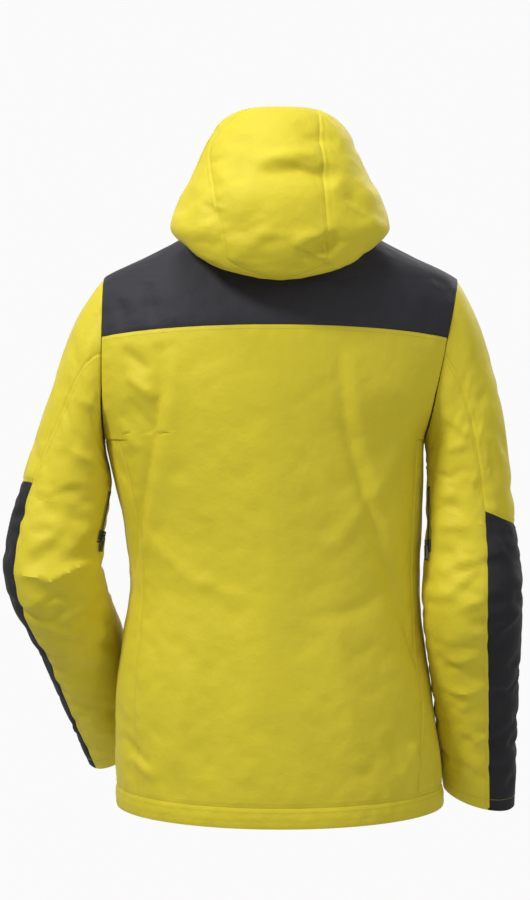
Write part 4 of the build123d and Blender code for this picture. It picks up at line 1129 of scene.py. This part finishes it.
quads = [[k * m + i, k * m + i + 1, ((k + 1) % 10) * m + i + 1, ((k + 1) % 10) * m + i]
         for k in range(10) for i in range(m - 1)]
p.add(verts.reshape(-1, 3), np.array(quads), 0)
stitches(p, path - across * 6.5 + path_n * 0.9, path_n, 1)
done("hood_brim_cloth", p, Y, None, ["hood_brim"], hood_bend)


# ------------------------------------------------------------------ zips with their teeth
def zip_teeth(piece, origin, side, up, out, length, mat, pitch=2.7):
    """Interlocking teeth along a zip, in metres."""
    count = int(length / (pitch * MM)) - 1
    for row, sign in ((0, 1), (1, -1)):
        s = (np.arange(count) + 0.5 + 0.5 * row) * pitch * MM + 0.002
        mid = origin + up * s[:, None] + side * (sign * 0.0011) + out * 0.0
        box = []
        for a in (-1, 1):
            for b in (-1, 1):
                for c in (-1, 1):
                    taper = 1.0 if c < 0 else 0.72
                    box.append(mid + side * (a * 0.00135 * taper) + up * (b * 0.00062 * taper) + out * (0.0006 * c + 0.0006))
        verts = np.stack(box, 1).reshape(-1, 3) / MM
        q = np.array([[0, 1, 3, 2], [4, 6, 7, 5], [0, 4, 5, 1], [2, 3, 7, 6], [0, 2, 6, 4], [1, 5, 7, 3]])
        base = (np.arange(count) * 8)[:, None, None]
        piece.add(verts, (base + q[None]).reshape(-1, 4), mat)


LOOKS = {"zip_tape": tape_cloth, "zip_metal": slider_metal, "pull": pull_rubber, "webbing": webbing,
         "lining": lining_cloth, "fleece": fleece, "shell": shell, "insulation": wadding,
         "yoke_cloth": yoke_cloth, "guard_cloth": guard_cloth}
slot_of = {row["node"]: row["material_slot"] for row in frame["record"]["subparts"]}
for node, obj in frame["nodes"].items():
    obj.data.materials.clear()
    obj.data.materials.append(thread if node.endswith("pit_zip") else LOOKS[slot_of[node]])

cuts = {}
for side, name in SIDES:
    for kind, body_name in (("pocket_zip", "torso"), ("pit_zip", f"{name}_upper_sleeve")):
        origin, across_z, up, out, length = zip_frame(f"{name}_{kind}")
        middle = np.array([0.0, -0.09, -0.45]) if kind == "pocket_zip" else np.array(
            tuple(arms[side].parts(np.array([arms[side].x[3]]))[0][0])) * MM
        if (origin + up * length / 2 - middle) @ out < 0:
            out, across_z = -out, -across_z
        face = np.array([tuple(v.co) for v in frame["nodes"][f"{name}_{kind}"].data.vertices])
        top = ((face - origin) @ out).max()
        p = Piece()
        zip_teeth(p, origin + out * (top - 0.0002), across_z, up, out, length, 0)
        done(f"{name}_{kind}_teeth", p, [teeth_plastic], body_name, [], None)
        cuts[name, kind] = (origin + out * (top - 0.002), across_z, up, out, 0.0056, length)
node = np.array([tuple(v.co) for v in frame["nodes"]["left_front_zip_tape"].data.vertices])
low, high = node[node[:, 2].argmin()], node[node[:, 2].argmax()]
up = unit(np.array([0, sin(LEAN), cos(LEAN)]))
out = np.array([0, -cos(LEAN), sin(LEAN)])
top = (node @ out).max()
start = np.array([0.0, front_y(-713) * MM, -0.713])
start = start + out * (top - start @ out - 0.0002)
p = Piece()
zip_teeth(p, start, np.array([1.0, 0, 0]), up, out, 0.746, 0, pitch=3.2)
done("front_zip_teeth", p, [teeth_plastic], "torso", [], None)

for side, name in SIDES:
    for cloth_name, kind in ((f"{name}_side_cloth", "pocket_zip"), (f"{name}_front_cloth", "pocket_zip"),
                             (f"{name}_under_sleeve_cloth", "pit_zip"), (f"{name}_under_sleeve_low", "pit_zip")):
        slot_cut(parts[cloth_name][0], [cuts[name, kind]])

# ------------------------------------------------------------------ bodies; the pieces that carry a bend are only baked in place
for name, (obj, body_name, bend) in parts.items():
    if bend:
        a, b, start, end = bend
        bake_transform(obj)
    else:
        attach(obj, body_name)

# ------------------------------------------------------------------ stage, light and camera
def plane_mesh(name, corners, mat):
    mesh = bpy.data.meshes.new(name)
    mesh.from_pydata(corners, [], [(0, 1, 2, 3)])
    mesh.materials.append(mat)
    obj = bpy.data.objects.new(name, mesh)
    bpy.context.scene.collection.objects.link(obj)
    return obj


paper = material("paper", (0.86, 0.86, 0.86), 0.9, spread=0.005)
plane_mesh("floor", [(-18, -14, -3.4), (18, -14, -3.4), (18, 18, -3.4), (-18, 18, -3.4)], paper)
glow = bpy.data.materials.new("backdrop")
glow.use_nodes = True
glow.node_tree.nodes.clear()
glow_out = glow.node_tree.nodes.new("ShaderNodeOutputMaterial")
glow_light = glow.node_tree.nodes.new("ShaderNodeEmission")
glow_light.inputs["Strength"].default_value = 0.96
glow.node_tree.links.new(glow_light.outputs[0], glow_out.inputs[0])
plane_mesh("backdrop", [(-18, -14, -12), (18, -14, -12), (18, -14, 14), (-18, -14, 14)], glow)

world = bpy.data.worlds.new("world")
bpy.context.scene.world = world
world.use_nodes = True
world.node_tree.nodes["Background"].inputs[0].default_value = (1.0, 1.0, 1.0, 1)
world.node_tree.nodes["Background"].inputs[1].default_value = 0.32


def area(name, place, target, size, power, colour=(1, 1, 1)):
    light = bpy.data.lights.new(name, "AREA")
    light.energy = power
    light.shape = "RECTANGLE"
    light.size, light.size_y = size
    light.color = colour
    obj = bpy.data.objects.new(name, light)
    obj.location = place
    obj.rotation_euler = (Vector(target) - Vector(place)).to_track_quat("-Z", "Y").to_euler()
    bpy.context.scene.collection.objects.link(obj)


area("key", (2.1, 1.6, 2.0), (0, 0, -0.35), (0.6, 0.6), 82)
area("fill", (-2.0, 2.4, 0.4), (0, 0, -0.4), (1.6, 2.0), 22)
area("front_key", (-1.8, -2.4, 1.5), (0, 0, -0.3), (1.4, 1.4), 40)
area("top", (0.3, 0.5, 2.4), (0, 0, 0), (1.2, 1.2), 36)

cam_data = bpy.data.cameras.new("camera")
cam_data.sensor_fit = "VERTICAL"
distance = 3.5
cam_data.angle = 2 * np.arctan(0.564 / distance)
camera = bpy.data.objects.new("camera", cam_data)
camera.location = (0.0186, distance - 0.06, -0.2976)
camera.rotation_euler = (Vector((0.0186, 0, -0.2976)) - camera.location).to_track_quat("-Z", "Y").to_euler()
bpy.context.scene.collection.objects.link(camera)
bpy.context.scene.camera = camera
bpy.context.scene.view_settings.view_transform = "Standard"
